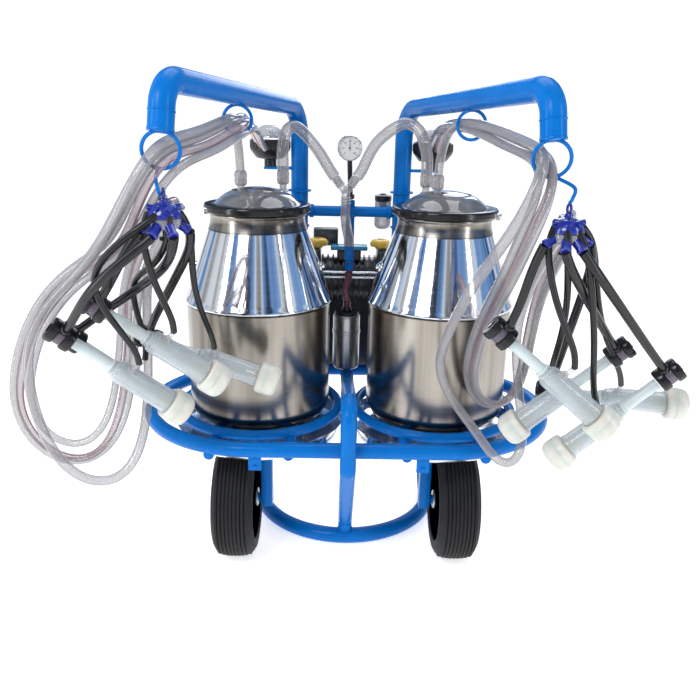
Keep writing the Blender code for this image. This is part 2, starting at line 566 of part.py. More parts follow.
LONG_HOSE_WAY = {
    "milk_left": [
        (-0.233, -0.040, 0.900), (-0.230, -0.100, 0.936), (-0.222, -0.170, 0.948), (-0.262, -0.300, 0.922),
        (-0.297, -0.438, 0.907), (-0.318, -0.462, 0.872), (-0.350, -0.462, 0.820), (-0.405, -0.420, 0.745),
        (-0.480, -0.385, 0.670), (-0.540, -0.385, 0.600), (-0.556, -0.385, 0.514), (-0.550, -0.385, 0.451),
        (-0.530, -0.385, 0.377), (-0.490, -0.385, 0.320), (-0.430, -0.372, 0.300), (-0.395, -0.350, 0.330),
        (-0.385, -0.300, 0.385), (-0.392, -0.240, 0.445), (-0.395, -0.205, 0.530), (-0.390, -0.215, 0.620),
        (-0.350, -0.300, 0.715), (-0.310, -0.360, 0.755),
    ],
    "pulse_left": [
        (-0.214, 0.060, 0.918), (-0.212, 0.000, 0.938), (-0.206, -0.170, 0.935), (-0.250, -0.300, 0.900),
        (-0.285, -0.438, 0.889), (-0.309, -0.455, 0.858), (-0.338, -0.440, 0.800), (-0.385, -0.395, 0.735),
        (-0.455, -0.352, 0.700), (-0.520, -0.335, 0.645), (-0.565, -0.330, 0.580), (-0.592, -0.330, 0.500),
        (-0.605, -0.330, 0.441), (-0.590, -0.335, 0.391), (-0.548, -0.340, 0.344), (-0.480, -0.345, 0.334),
        (-0.445, -0.335, 0.365), (-0.432, -0.300, 0.410), (-0.430, -0.245, 0.480), (-0.428, -0.215, 0.560),
        (-0.405, -0.250, 0.660), (-0.355, -0.275, 0.755), (-0.285, -0.350, 0.820),
    ],
    "milk_right": [
        (0.180, -0.040, 0.900), (0.186, -0.100, 0.936), (0.206, -0.170, 0.949), (0.257, -0.300, 0.930),
        (0.284, -0.438, 0.907), (0.272, -0.468, 0.880), (0.255, -0.470, 0.830), (0.225, -0.440, 0.761),
        (0.195, -0.395, 0.690), (0.175, -0.330, 0.600), (0.168, -0.255, 0.502), (0.200, -0.235, 0.427),
        (0.250, -0.270, 0.375), (0.290, -0.290, 0.312), (0.325, -0.290, 0.305), (0.345, -0.275, 0.345),
        (0.335, -0.220, 0.450), (0.325, -0.205, 0.560), (0.325, -0.260, 0.650), (0.322, -0.350, 0.730),
    ],
    "pulse_right": [
        (0.190, 0.060, 0.918), (0.192, 0.000, 0.935), (0.222, -0.170, 0.934), (0.266, -0.300, 0.905),
        (0.298, -0.438, 0.888), (0.292, -0.470, 0.858), (0.268, -0.455, 0.800), (0.262, -0.420, 0.740),
        (0.250, -0.360, 0.666), (0.245, -0.260, 0.572), (0.240, -0.215, 0.478), (0.255, -0.190, 0.420),
        (0.285, -0.185, 0.385), (0.320, -0.180, 0.385), (0.345, -0.180, 0.430), (0.352, -0.185, 0.540),
        (0.350, -0.240, 0.660), (0.356, -0.330, 0.755), (0.352, -0.385, 0.800),
    ],
}


def build_long_hoses():
    for name, side in SIDES:
        nozzle = Vector((*LID_NOZZLES[name][1], NOZZLE_TOP + GAP))
        spout = Vector(PULSE_SPOUT[name]) - Vector((0, GAP, 0))
        milk_end = CLAWS[name] + MILK_PORT + Vector((0, GAP, 0))
        pulse_end = CLAWS[name] + PULSE_PORT + Vector((0, GAP, 0))
        ends = {
            "milk": (nozzle, Vector((0, 0, 0.02)), milk_end, MILK_HOSE),
            "pulse": (spout, Vector((0, -0.02, 0)), pulse_end, PULSE_HOSE),
        }
        for kind, (start, lead, end, radius) in ends.items():
            way = [Vector(p) for p in LONG_HOSE_WAY[f"{kind}_{name}"]]
            route = [start, start + lead, *way, end + Vector((0, 0.014, 0)), end]
            tube_curve(f"{kind}_hose_{name}", smooth_route(route, 0.050), radius, HOSE)


build_platform()
build_floor_loop()
build_spine()
build_handles()
build_manifold()
build_wheels()
build_cans()
build_pump()
build_tank()
build_gauge()
build_pulsators()
build_y_piece()
build_arches()
build_claws()
build_cups()
build_short_tubes()
build_long_hoses()

for placed in list(machine.objects) + list(helpers.objects):
    placed.location += Vector(SHIFT)
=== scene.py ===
"""Looks of the two-can milking machine: its visible pieces, their materials, the hoses, lights and camera.

Everything is in metres. Long rows of numbers are typed as whole tenths of a millimetre, for pairs(), or whole
millimetres, for places().
"""

from math import cos, radians, sin, tan, tau

import bmesh
import bpy
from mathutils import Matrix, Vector


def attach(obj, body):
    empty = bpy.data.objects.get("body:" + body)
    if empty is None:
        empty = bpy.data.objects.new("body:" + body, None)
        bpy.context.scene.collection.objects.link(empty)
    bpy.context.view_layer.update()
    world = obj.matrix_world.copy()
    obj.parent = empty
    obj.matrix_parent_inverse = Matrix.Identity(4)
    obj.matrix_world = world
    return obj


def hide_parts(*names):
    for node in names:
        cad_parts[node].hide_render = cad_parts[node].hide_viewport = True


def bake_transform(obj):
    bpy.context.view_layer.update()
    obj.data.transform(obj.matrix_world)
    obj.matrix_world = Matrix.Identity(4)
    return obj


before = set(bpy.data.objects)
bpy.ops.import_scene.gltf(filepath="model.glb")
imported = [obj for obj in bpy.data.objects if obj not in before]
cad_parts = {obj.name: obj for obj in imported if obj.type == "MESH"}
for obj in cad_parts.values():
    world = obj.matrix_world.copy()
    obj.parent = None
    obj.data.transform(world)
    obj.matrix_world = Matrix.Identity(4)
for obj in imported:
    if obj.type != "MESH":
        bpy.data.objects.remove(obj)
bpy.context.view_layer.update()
scene = bpy.context.scene


def vec(x, y, z):
    return Vector((x, y, z))


SHIFT = vec(-0.069, 0.083, 0.0)  # the routes and places below are from the trolley's middle plane
SIDES = (("left", -1), ("right", 1))
GAP = 0.0003  # between a hose's end and what it plugs into, and between pieces that rest on each other
CAMERA_ANGLES = (18.04, -1.07, 1.35)  # pitch, yaw and roll in degrees, fitted to the photograph
CAMERA_BACK, CAMERA_HEIGHT, CAMERA_ACROSS = 1.535, 0.949, 0.0039


def whole_numbers(text, across, unit):
    numbers = [int(word) / unit for word in text.split()]
    return [tuple(numbers[n:n + across]) for n in range(0, len(numbers), across)]


def pairs(text):
    """(radius, height) points, typed in tenths of a millimetre."""
    return whole_numbers(text, 2, 10000)


def places(text):
    """Places in space, typed in millimetres."""
    return whole_numbers(text, 3, 1000)


# Camera and light.
def make_camera():
    pitch, yaw, roll = (radians(angle) for angle in CAMERA_ANGLES)
    ahead = vec(-sin(yaw) * cos(pitch), cos(yaw) * cos(pitch), -sin(pitch))
    right = vec(cos(yaw), sin(yaw), 0)
    up = right.cross(ahead)
    x_axis = right * cos(roll) + up * sin(roll)
    y_axis = up * cos(roll) - right * sin(roll)
    place = vec(CAMERA_BACK * sin(yaw) + CAMERA_ACROSS * cos(yaw),
                CAMERA_ACROSS * sin(yaw) - CAMERA_BACK * cos(yaw), CAMERA_HEIGHT)
    camera = bpy.data.objects.new("camera", bpy.data.cameras.new("camera"))
    camera.data.lens, camera.data.sensor_width = 36.5, 36.0
    matrix = camera.matrix_world.copy()
    for row in range(3):
        matrix[row][0], matrix[row][1], matrix[row][2] = x_axis[row], y_axis[row], -ahead[row]
        matrix[row][3] = place[row] + SHIFT[row]
    scene.collection.objects.link(camera)
    camera.matrix_world = matrix
    scene.camera = camera


def area_light(name, place, target, size, power):
    lamp = bpy.data.lights.new(name, "AREA")
    lamp.shape, lamp.size, lamp.size_y = "RECTANGLE", size[0], size[1]
    lamp.energy = power
    obj = bpy.data.objects.new(name, lamp)
    obj.location = place
    obj.rotation_euler = (Vector(target) - Vector(place)).to_track_quat("-Z", "Y").to_euler()
    obj.visible_camera = False
    scene.collection.objects.link(obj)


class Graph:
    """The node tree of a material or world, added to one node at a time."""

    def __init__(self, owner):
        owner.use_nodes = True
        self.tree = owner.node_tree

    def fill(self, node, **inputs):
        """Set inputs by name, or by number as in _1. A socket is linked; anything else is the value itself."""
        for name, value in inputs.items():
            socket = node.inputs[int(name[1:]) if name[0] == "_" else name.replace("_", " ")]
            if isinstance(value, bpy.types.NodeSocket):
                self.tree.links.new(value, socket)
            else:
                socket.default_value = value

    def add(self, kind, output, **inputs):
        """Add a node and give back one of its outputs."""
        node = self.tree.nodes.new("ShaderNode" + kind)
        if kind == "Mix":
            node.data_type = "RGBA"
        self.fill(node, **inputs)
        return node.outputs[output] if output else node

    def ramp(self, factor, stops):
        """A colour ramp with a colour at each (position, colour) stop."""
        node = self.add("ValToRGB", None, Fac=factor)
        while len(node.color_ramp.elements) < len(stops):
            node.color_ramp.elements.new(0.5)
        for element, (position, color) in zip(node.color_ramp.elements, stops):
            element.position, element.color = position, (*color, 1)
        return node.outputs["Color"]


def make_world():
    """White to the eye, with tall soft streaks over a warm ground for shiny surfaces to reflect."""
    scene.world = bpy.data.worlds.new("studio")
    graph = Graph(scene.world)
    graph.tree.nodes.clear()
    white = (1.0, 1.0, 1.0, 1)
    where = graph.add("TexCoord", "Generated")
    tall = graph.add("Mapping", "Vector", Vector=where, Scale=(1.0, 1.0, 0.10))
    streaks = graph.ramp(graph.add("TexNoise", "Fac", Vector=tall, Scale=2.3, Detail=3.0), [
        (0.0, (0.02, 0.03, 0.05)), (0.38, (0.04, 0.05, 0.08)), (0.43, (0.14, 0.29, 0.60)),
        (0.50, (0.26, 0.45, 0.78)), (0.545, (0.92, 0.96, 1.0)), (0.60, (0.46, 0.47, 0.49)),
        (0.67, (0.07, 0.07, 0.08)), (1.0, (0.7, 0.7, 0.7))])
    level = graph.add("SeparateXYZ", "Z", Vector=where)
    above = graph.add("MapRange", "Result", Value=level, From_Min=-0.05, From_Max=0.10)
    around_it = graph.add("Mix", "Result", Factor=above, A=(0.34, 0.31, 0.28, 1), B=streaks)
    plain = graph.add("Background", "Background", Color=white, Strength=0.52)
    seen = graph.add("Background", "Background", Color=around_it, Strength=1.0)
    backdrop = graph.add("Background", "Background", Color=white, Strength=1.05)
    path = graph.add("LightPath", None)
    lit = graph.add("MixShader", "Shader", Fac=path.outputs["Is Glossy Ray"], _1=plain, _2=seen)
    shown = graph.add("MixShader", "Shader", Fac=path.outputs["Is Camera Ray"], _1=lit, _2=backdrop)
    graph.add("OutputWorld", None, Surface=shown)


make_camera()
make_world()
area_light("key", (-1.3, -2.0, 2.3), (0, 0, 0.5), (1.0, 1.0), 30)
area_light("strip_left", (-1.7, -0.9, 1.0), (-0.1, 0, 0.6), (0.22, 1.9), 12)
area_light("strip_right", (1.6, -1.2, 1.0), (0.1, 0, 0.6), (0.22, 1.9), 12)
area_light("top", (0, 0.4, 2.6), (0, 0, 0.5), (1.6, 1.2), 18)
area_light("rear", (0.4, 2.2, 1.8), (0, 0.2, 0.5), (1.4, 1.0), 15)
scene.view_settings.view_transform = "Standard"


# Materials.
def surface(name, color, roughness, metallic=0.0, vary=0.06, grain=30.0, bump=0.0, bump_scale=400.0,
            stretch=(1, 1, 1), coat=0.0, alpha=1.0, edge=None, wear=0.05, **sockets):
    """A Principled material whose colour and roughness vary over the surface, with a fine bump in metres."""
    made = bpy.data.materials.new(name)
    graph = Graph(made)
    shader = graph.tree.nodes["Principled BSDF"]
    graph.fill(shader, Metallic=metallic, Coat_Weight=coat, Coat_Roughness=0.06, **sockets)
    scale = graph.add("Mapping", "Vector", Vector=graph.add("TexCoord", "Object"), Scale=stretch)
    cloud = graph.add("TexNoise", "Fac", Vector=scale, Scale=grain, Detail=4.0)
    dark = (*(c * (1 - vary) for c in color), 1)
    light = (*(min(1.0, c * (1 + vary) + vary * 0.02) for c in color), 1)
    rough = graph.add("MapRange", "Result", Value=cloud, From_Min=0.3, From_Max=0.7,
                      To_Min=max(0.02, roughness - wear), To_Max=roughness + wear)
    graph.fill(shader, Base_Color=graph.add("Mix", "Result", Factor=cloud, A=dark, B=light), Roughness=rough)
    if bump:
        fine = graph.add("TexNoise", "Fac", Vector=scale, Scale=bump_scale, Detail=2.0)
        graph.fill(shader, Normal=graph.add("Bump", "Normal", Height=fine, Distance=bump, Strength=0.6))
    if edge is None:
        graph.fill(shader, Alpha=alpha)
    else:
        facing = graph.add("LayerWeight", "Facing", Blend=0.42)
        graph.fill(shader, Alpha=graph.add("MapRange", "Result", Value=facing, To_Min=alpha, To_Max=edge))
    return made


BLUE = surface("blue_enamel", (0.0, 0.140, 0.50), 0.24, vary=0.10, grain=22, bump=0.00012, bump_scale=260,
               coat=0.03, Specular_IOR_Level=0.11)
CAN = surface("polished_can", (0.70, 0.71, 0.73), 0.075, 1.0, vary=0.05, grain=6, stretch=(1, 1, 26),
              bump=0.00002, bump_scale=30, wear=0.03)


def band_can(made, shoulder=0.5655, neck=0.7215):
    """A bright cone under a neck dimmed by a painted dark reflection, then a painted shadow line at the seam
    and a warmer satin body whose streaked colour is painted reflection.
    """
    graph = Graph(made)
    shader = graph.tree.nodes["Principled BSDF"]
    place = next(node for node in graph.tree.nodes if node.type == "TEX_COORD").outputs["Object"]
    bright, rough = (shader.inputs[name].links[0].from_socket for name in ("Base Color", "Roughness"))
    low, high = shoulder - 0.006, neck + 0.010
    upward = graph.add("SeparateXYZ", "Z", Vector=place)
    level = graph.add("MapRange", "Result", Value=upward, From_Min=low, From_Max=high)
    # 0 is the body, 0.5 the seam's painted shadow and 1 the cone; the low values above the neck paint a dark
    # reflection there.
    heights = [(low, 0.0), (shoulder - 0.0034, 0.0), (shoulder - 0.0017, 0.5), (shoulder + 0.0014, 0.5),
               (shoulder + 0.0026, 1.0), (neck - 0.001, 1.0), (neck + 0.003, 0.14), (high, 0.10)]
    bands = graph.ramp(level, [((height - low) / (high - low), (value,) * 3) for height, value in heights])
    # The body's dark warm streaked colour is painted reflection of the surroundings, not the steel's own
    # colour.
    reflection_streak_scale = graph.add("Mapping", "Vector", Vector=place, Scale=(11, 11, 0.5))
    body = graph.ramp(graph.add("TexNoise", "Fac", Vector=reflection_streak_scale, Scale=1.6, Detail=4.0), [
        (0.30, (0.09, 0.08, 0.07)), (0.43, (0.23, 0.21, 0.185)), (0.56, (0.33, 0.305, 0.27)),
        (0.70, (0.41, 0.38, 0.34))])
    # Painted shade: the seam band is darkened as a shadow under the seam lip, and the neck as a dark
    # reflection.
    to_painted_dark = graph.add("MapRange", "Result", Value=bands, From_Max=0.5)
    to_cone = graph.add("MapRange", "Result", Value=bands, From_Min=0.5)
    # This near-black is the painted seam shadow and the neck's painted dark reflection.
    lower = graph.add("Mix", "Result", A=body, B=(0.035, 0.033, 0.032, 1), Factor=to_painted_dark)
    satin = graph.add("MapRange", "Result", Value=to_cone, To_Min=0.15, To_Max=0.0)
    graph.fill(shader, Base_Color=graph.add("Mix", "Result", A=lower, B=bright, Factor=to_cone),
               Roughness=graph.add("Math", "Value", _0=rough, _1=satin))


band_can(CAN)
STEEL = surface("bright_steel", (0.78, 0.78, 0.77), 0.16, 1.0, vary=0.07, grain=60, bump=0.00003,
                bump_scale=500)
ZINC = surface("zinc_plate", (0.55, 0.56, 0.57), 0.34, 1.0, vary=0.16, grain=45, bump=0.00008, bump_scale=300)
TYRE = surface("tyre_rubber", (0.007, 0.007, 0.008), 0.62, vary=0.35, grain=24, bump=0.0004, bump_scale=500,
               Specular_IOR_Level=0.25)
RUBBER = surface("black_rubber", (0.007, 0.007, 0.008), 0.20, vary=0.25, grain=50, bump=0.00005,
                 bump_scale=600, coat=0.10, Specular_IOR_Level=0.28)
BLACK = surface("black_moulding", (0.012, 0.012, 0.014), 0.30, vary=0.25, grain=80, bump=0.00008,
                bump_scale=900, Specular_IOR_Level=0.35)
IRON = surface("pump_enamel", (0.022, 0.024, 0.028), 0.34, vary=0.35, grain=60, bump=0.0003,
               bump_scale=350, coat=0.25)
CLEAR = surface("clear_moulding", (0.46, 0.47, 0.50), 0.07, vary=0.04, coat=0.5, alpha=0.28, edge=0.86)
# The lid dome is clear plastic; its dark grey is painted shade of the dark can inside beneath it.
DARKENED_CLEAR = surface("lid_moulding", (0.16, 0.165, 0.18), 0.06, vary=0.12, grain=9, coat=1.0, alpha=0.62,
                edge=0.92)
HOSE = surface("clear_pvc", (0.30, 0.292, 0.312), 0.13, vary=0.12, grain=14, bump=0.0001, bump_scale=120,
               coat=0.9, alpha=0.46, edge=0.95)
PINK = surface("milk_film_pvc", (0.37, 0.285, 0.31), 0.13, vary=0.14, grain=12, coat=0.9, alpha=0.46,
               edge=0.94)
RED = surface("red_stripe", (0.62, 0.05, 0.10), 0.3, vary=0.15)
MILKY = surface("milky_silicone", (0.58, 0.66, 0.68), 0.30, vary=0.07, grain=35, bump=0.00008, bump_scale=300,
                coat=0.3, alpha=0.93, Subsurface_Weight=0.35, Subsurface_Scale=0.01)
IVORY = surface("ivory_silicone", (0.59, 0.60, 0.55), 0.34, vary=0.07, grain=45, bump=0.00012, bump_scale=260,
                coat=0.2, Subsurface_Weight=0.4, Subsurface_Scale=0.01)
SHELL = surface("cup_shell", (0.56, 0.62, 0.66), 0.08, vary=0.05, coat=0.8, alpha=0.22, edge=0.80)
ROYAL = surface("claw_moulding", (0.004, 0.016, 0.26), 0.22, vary=0.18, grain=60, bump=0.0001,
                bump_scale=500, coat=0.5)
PURPLE = surface("sight_glass", (0.25, 0.19, 0.29), 0.10, vary=0.3, grain=60, coat=0.9, alpha=0.72, edge=0.95)
YELLOW = surface("oil_cap", (0.80, 0.52, 0.06), 0.28, vary=0.12, grain=70, bump=0.0001, bump_scale=600)
TEAL = surface("teal_band", (0.02, 0.28, 0.42), 0.25, vary=0.2, grain=60, coat=0.4)
WHITE = surface("dial_face", (0.86, 0.86, 0.84), 0.4, vary=0.03, grain=40)
WINE = surface("wine_hose", (0.10, 0.012, 0.015), 0.3, vary=0.3, grain=40, coat=0.3)


# Shapes.
def smooth_route(points, spacing):
    points = [Vector(p) for p in points]
    ends = [points[0] * 2 - points[1]] + points + [points[-1] * 2 - points[-2]]
    route = []
    for a, b, c, d in zip(ends, ends[1:], ends[2:], ends[3:]):
        count = max(1, round((c - b).length / spacing))
        for step in range(count):
            t = step / count
            cube = (b * 3 - a - c * 3 + d) * t**3
            route.append(0.5 * (b * 2 + (c - a) * t + (a * 2 - b * 5 + c * 4 - d) * t**2 + cube))
    return route + [points[-1]]


def filleted(corners, radius, pieces=10):
    corners = [Vector(c) for c in corners]
    route = [corners[0]]
    for before, corner, after in zip(corners, corners[1:], corners[2:]):
        to_start, to_end = (before - corner).normalized(), (after - corner).normalized()
        half = to_start.angle(to_end) / 2
        reach = min(radius / tan(half), (before - corner).length * 0.98, (after - corner).length * 0.98)
        bend = reach * tan(half)
        middle = corner + (to_start + to_end).normalized() * bend / sin(half)
        first, last = corner + to_start * reach - middle, corner + to_end * reach - middle
        turn = first.rotation_difference(last)
        for step in range(pieces + 1):
            part = turn.copy()
            part.angle = turn.angle * step / pieces
            route.append(middle + part @ first)
    return route + [corners[-1]]


def around(centre, radius, height, count, start=0.0):
    """Places spaced evenly round the upright axis through the centre, the height above it."""
    turns = [tau * step / count + start for step in range(count)]
    return [Vector(centre) + vec(radius * cos(t), radius * sin(t), height) for t in turns]


def ring_route(centre, radius, normal, count=48):
    turn = Vector(normal).to_track_quat("Z", "Y")
    angles = [tau * step / count for step in range(count)]
    return [Vector(centre) + turn @ vec(radius * cos(a), radius * sin(a), 0) for a in angles]


def frames_along(route, closed=False):
    """For each point of the route, two directions square to it that never twist."""
    count = len(route)
    found, side = [], None
    for n, point in enumerate(route):
        before = route[n - 1] if n or closed else point
        after = route[(n + 1) % count] if n + 1 < count or closed else point
        ahead = (after - before).normalized()
        if side is None:
            side = ahead.orthogonal().normalized()
        side = (side - ahead * side.dot(ahead)).normalized()
        found.append((side.copy(), ahead.cross(side)))
    return found


def beside(route, reach, angle):
    """The route moved sideways by the reach, always on the same side of it."""
    return [p + (a * cos(angle) + b * sin(angle)) * reach for p, (a, b) in zip(route, frames_along(route))]


class Shape:
    """One mesh, built up from turned, bent and boxed forms."""

    def __init__(self):
        self.mesh = bmesh.new()

    def rows(self, rows, round_rows=False, caps=False):
        verts = [[self.mesh.verts.new(p) for p in row] for row in rows]
        pairs = list(zip(verts, verts[1:])) + ([(verts[-1], verts[0])] if round_rows else [])
        for a, b in pairs:
            for n in range(len(a)):
                m = (n + 1) % len(a)
                self.mesh.faces.new((a[n], a[m], b[m], b[n]))
        if caps:
            self.mesh.faces.new(verts[0])
            self.mesh.faces.new(verts[-1])
        return self

    def tube(self, route, radius, sides=16, closed=False, caps=True):
        """A tube along the route; the radius is one number or one for each point."""
        route = [Vector(p) for p in route]
        sizes = radius if isinstance(radius, list) else [radius] * len(route)
        angles = [tau * k / sides for k in range(sides)]
        rings = []
        for point, size, (a, b) in zip(route, sizes, frames_along(route, closed)):
            rings.append([point + (a * cos(t) + b * sin(t)) * size for t in angles])
        return self.rows(rings, closed, caps and not closed)

    def lathe(self, profile, place=(0, 0, 0), axis=(0, 0, 1), steps=64, closed=False):
        """(radius, height) points turned about the axis through the place."""
        turn = Vector(axis).normalized().to_track_quat("Z", "Y")
        angles = [tau * k / steps for k in range(steps)]
        rows = []
        for radius, height in profile:
            wide = max(radius, 1e-5)
            rows.append([Vector(place) + turn @ vec(wide * cos(t), wide * sin(t), height) for t in angles])
        return self.rows(rows, closed, not closed)

    def rod(self, start, end, radius, end_radius=None, steps=20, lip=0.0008):
        """A round bar with softened ends."""
        start, end = Vector(start), Vector(end)
        last = radius if end_radius is None else end_radius
        length = (end - start).length
        lip = min(lip, length / 3)
        profile = [(radius - lip, 0), (radius, lip), (last, length - lip), (last - lip, length)]
        return self.lathe(profile, start, end - start, steps)

    def box(self, low, high, soft=0.002, segments=3):
        low, high = Vector(low), Vector(high)
        made = bmesh.ops.create_cube(self.mesh, size=1.0)["verts"]
        bmesh.ops.scale(self.mesh, vec=high - low, verts=made)
        bmesh.ops.translate(self.mesh, vec=(low + high) / 2, verts=made)
        edges = list({edge for vert in made for edge in vert.link_edges})
        bmesh.ops.bevel(self.mesh, geom=edges, offset=soft, segments=segments, affect="EDGES", profile=0.5)
        return self

    def bolt(self, place, axis, radius=0.004, height=0.003):
        """A hexagon head on a washer."""
        axis = Vector(axis).normalized()
        self.lathe([(radius * 1.5, 0), (radius * 1.5, 0.0008), (radius * 1.4, 0.001)], place, axis, 20)
        head = Vector(place) + axis * 0.001
        return self.lathe([(radius, 0), (radius, height * 0.8), (radius * 0.86, height)], head, axis, 6)

    def piece(self, name, material, body="frame", nodes=(), slot=None, angle=38, ride=True):
        bmesh.ops.remove_doubles(self.mesh, verts=self.mesh.verts, dist=2e-6)
        bmesh.ops.recalc_face_normals(self.mesh, faces=self.mesh.faces)
        mesh = bpy.data.meshes.new(name)
        self.mesh.to_mesh(mesh)
        self.mesh.free()
        mesh.shade_smooth()
        mesh.set_sharp_from_angle(angle=radians(angle))
        mesh.materials.append(material)
        obj = bpy.data.objects.new(name, mesh)
        obj.location = SHIFT
        scene.collection.objects.link(obj)
        if ride:
            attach(obj, body)
        if nodes:
            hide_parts(*([nodes] if isinstance(nodes, str) else nodes))
        return obj


def thick(outer, wall):
    """An open shell's closed profile: the outer line down, and back up inside it."""
    return outer + [(max(r - wall, 0), z + (wall if r < 0.02 else 0)) for r, z in reversed(outer)]


def curve_profile(points, spacing=0.004):
    flat = smooth_route([(r, z, 0) for r, z in points], spacing)
    return [(max(p.x, 0.0), p.y) for p in flat]


# Clusters and hoses. These are the fixed points that the hoses run between.
CLAWS = {"left": vec(-0.290, -0.448, 0.806), "right": vec(0.324, -0.448, 0.796)}
CLAW_ARMS = {
    "left": places("-34 -16 -24  -12 -36 -30  20 -32 -30  36 6 -26"),
    "right": places("-36 -12 -24  -10 -36 -30  18 -32 -30  38 -4 -24"),
}
MILK_PORT, PULSE_PORT = vec(0.0, 0.030, -0.016), vec(0.0, 0.030, 0.012)
LID_NOZZLES = {"left": ((-0.148, 0.030), (-0.232, -0.020)), "right": ((0.160, 0.030), (0.178, -0.024))}
NOZZLE_TOP = 0.838
PULSE_SPOUT = {"left": (-0.202, 0.118, 0.888), "right": (0.190, 0.118, 0.888)}
CUPS = {
    "left_1": ((-0.427, -0.400, 0.648), (-0.241, -0.350, 0.505)),
    "left_2": ((-0.480, -0.400, 0.594), (-0.310, -0.345, 0.446)),
    "left_3": ((-0.478, -0.335, 0.560), (-0.335, -0.265, 0.414)),
    "left_4": ((-0.385, -0.250, 0.548), (-0.156, -0.260, 0.472)),
    "right_1": ((0.217, -0.385, 0.638), (0.432, -0.420, 0.461)),
    "right_2": ((0.503, -0.330, 0.580), (0.312, -0.300, 0.398)),
    "right_3": ((0.568, -0.372, 0.545), (0.388, -0.350, 0.369)),
    "right_4": ((0.390, -0.250, 0.452), (0.622, -0.285, 0.445)),
}
CUP_TAIL = 0.262
COUPLER_REACH, COUPLER_RADIUS, NIPPLE_REACH = 0.237, 0.0215, 0.112
SHORT_TUBE_WAY = {
    "left_2": [(-0.395, -0.482, 0.702)],
    "left_3": [(-0.298, -0.432, 0.720), (-0.372, -0.348, 0.662)],
}
LONG_HOSE_WAY = {
    "milk_left": places("""
        -233 -40 900  -230 -100 936  -222 -170 948  -262 -300 922  -297 -438 907  -318 -462 872  -350 -462 820
        -405 -420 745  -480 -385 670  -540 -385 600  -556 -385 514  -550 -385 451  -530 -385 377
        -490 -385 320  -430 -372 300  -395 -350 330  -385 -300 385  -392 -240 445  -395 -205 530
        -390 -215 620  -350 -300 715  -310 -360 755"""),
    "pulse_left": places("""
        -214 60 918  -212 0 938  -206 -170 935  -250 -300 900  -285 -438 889  -309 -455 858  -338 -440 800
        -385 -395 735  -455 -352 700  -520 -335 645  -565 -330 580  -592 -330 500  -605 -330 441
        -590 -335 391  -548 -340 344  -480 -345 334  -445 -335 365  -432 -300 410  -430 -245 480
        -428 -215 560  -405 -250 660  -355 -275 755  -285 -350 820"""),
    "milk_right": places("""
        180 -40 900  186 -100 936  206 -170 949  257 -300 930  284 -438 907  272 -468 880  255 -470 830
        225 -440 761  195 -395 690  175 -330 600  168 -255 502  200 -235 427  250 -270 375  290 -290 312
        325 -290 305  345 -275 345  335 -220 450  325 -205 560  325 -260 650  322 -350 730"""),
    "pulse_right": places("""
        190 60 918  192 0 935  222 -170 934  266 -300 905  298 -438 888  292 -470 858  268 -455 800
        262 -420 740  250 -360 666  245 -260 572  240 -215 478  255 -190 420  285 -185 385  320 -180 385
        345 -180 430  352 -185 540  350 -240 660  356 -330 755  352 -385 800"""),
}
ARCH_TOPS = {
    "left": places("-148 32 885  -140 45 922  -118 62 928  -80 86 888"),
    "right": places("158 34 885  140 48 930  106 66 940  54 90 900"),
}


def relaxed(route, rounds):
    """The route with its kinks eased and its two ends where they were."""
    for _ in range(rounds):
        inner = [(a + b * 2 + c) / 4 for a, b, c in zip(route, route[1:], route[2:])]
        route = route[:1] + inner + route[-1:]
    return route


def hose(name, way, radius, material, nodes=(), stripe=None, blend=None):
    """A free hose along the way, with a coloured line along it if asked."""
    route = relaxed(smooth_route(way, 0.010), 30)
    obj = Shape().tube(route, radius, 18).piece(name, material, nodes=nodes, ride=blend is None)
    extras = []
    if stripe is not None:
        line = Shape().tube(beside(route, radius * 0.93, stripe), 0.0011, 6)
        extras.append(line.piece(name + "_stripe", RED, ride=blend is None))
    if blend:
        for part in [obj, *extras]:
            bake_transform(part)
    return route


def cup_axis(name):
    tail, head = (Vector(p) for p in CUPS[name])
    return head, (head - tail).normalized()


# Each long hose's length: milk, pulse, twin and third.
LONG_LENGTHS = {"left": (1.90, 2.00, 1.90, 2.00), "right": (1.80, 1.75, 1.75, 1.70)}


def make_long_hoses():
    for name, side in SIDES:
        milk, pulse, *beside_pulse = LONG_LENGTHS[name]
        x, y = LID_NOZZLES[name][1]
        nozzle = vec(x, y, NOZZLE_TOP + GAP)
        end = CLAWS[name] + MILK_PORT + vec(0, GAP, 0)
        way = [nozzle, nozzle + vec(0, 0, 0.02), *LONG_HOSE_WAY[f"milk_{name}"], end + vec(0, 0.014, 0), end]
        lift = (f"lid_{name}", "frame", vec(0, y - 0.005, 0) + SHIFT, vec(0, -0.165, 0) + SHIFT)
        hose(f"milk_hose_{name}_skin", way, 0.009, HOSE, f"milk_hose_{name}", blend=lift)
        spout = Vector(PULSE_SPOUT[name]) - vec(0, GAP, 0)
        end = CLAWS[name] + PULSE_PORT + vec(0, GAP, 0)
        way = [spout, spout + vec(0, -0.02, 0), *LONG_HOSE_WAY[f"pulse_{name}"], end + vec(0, 0.014, 0), end]
        route = hose(f"pulse_hose_{name}_skin", way, 0.007, PINK, f"pulse_hose_{name}", radians(40))
        angles = (90, -90) if side < 0 else (-60, -150)
        for which, angle, length in zip(("twin", "third"), angles, beside_pulse):
            way = beside(route, 0.0145, radians(angle))
            hose(f"pulse_{which}_{name}", way[1::3] + [way[-2]], 0.007, HOSE)


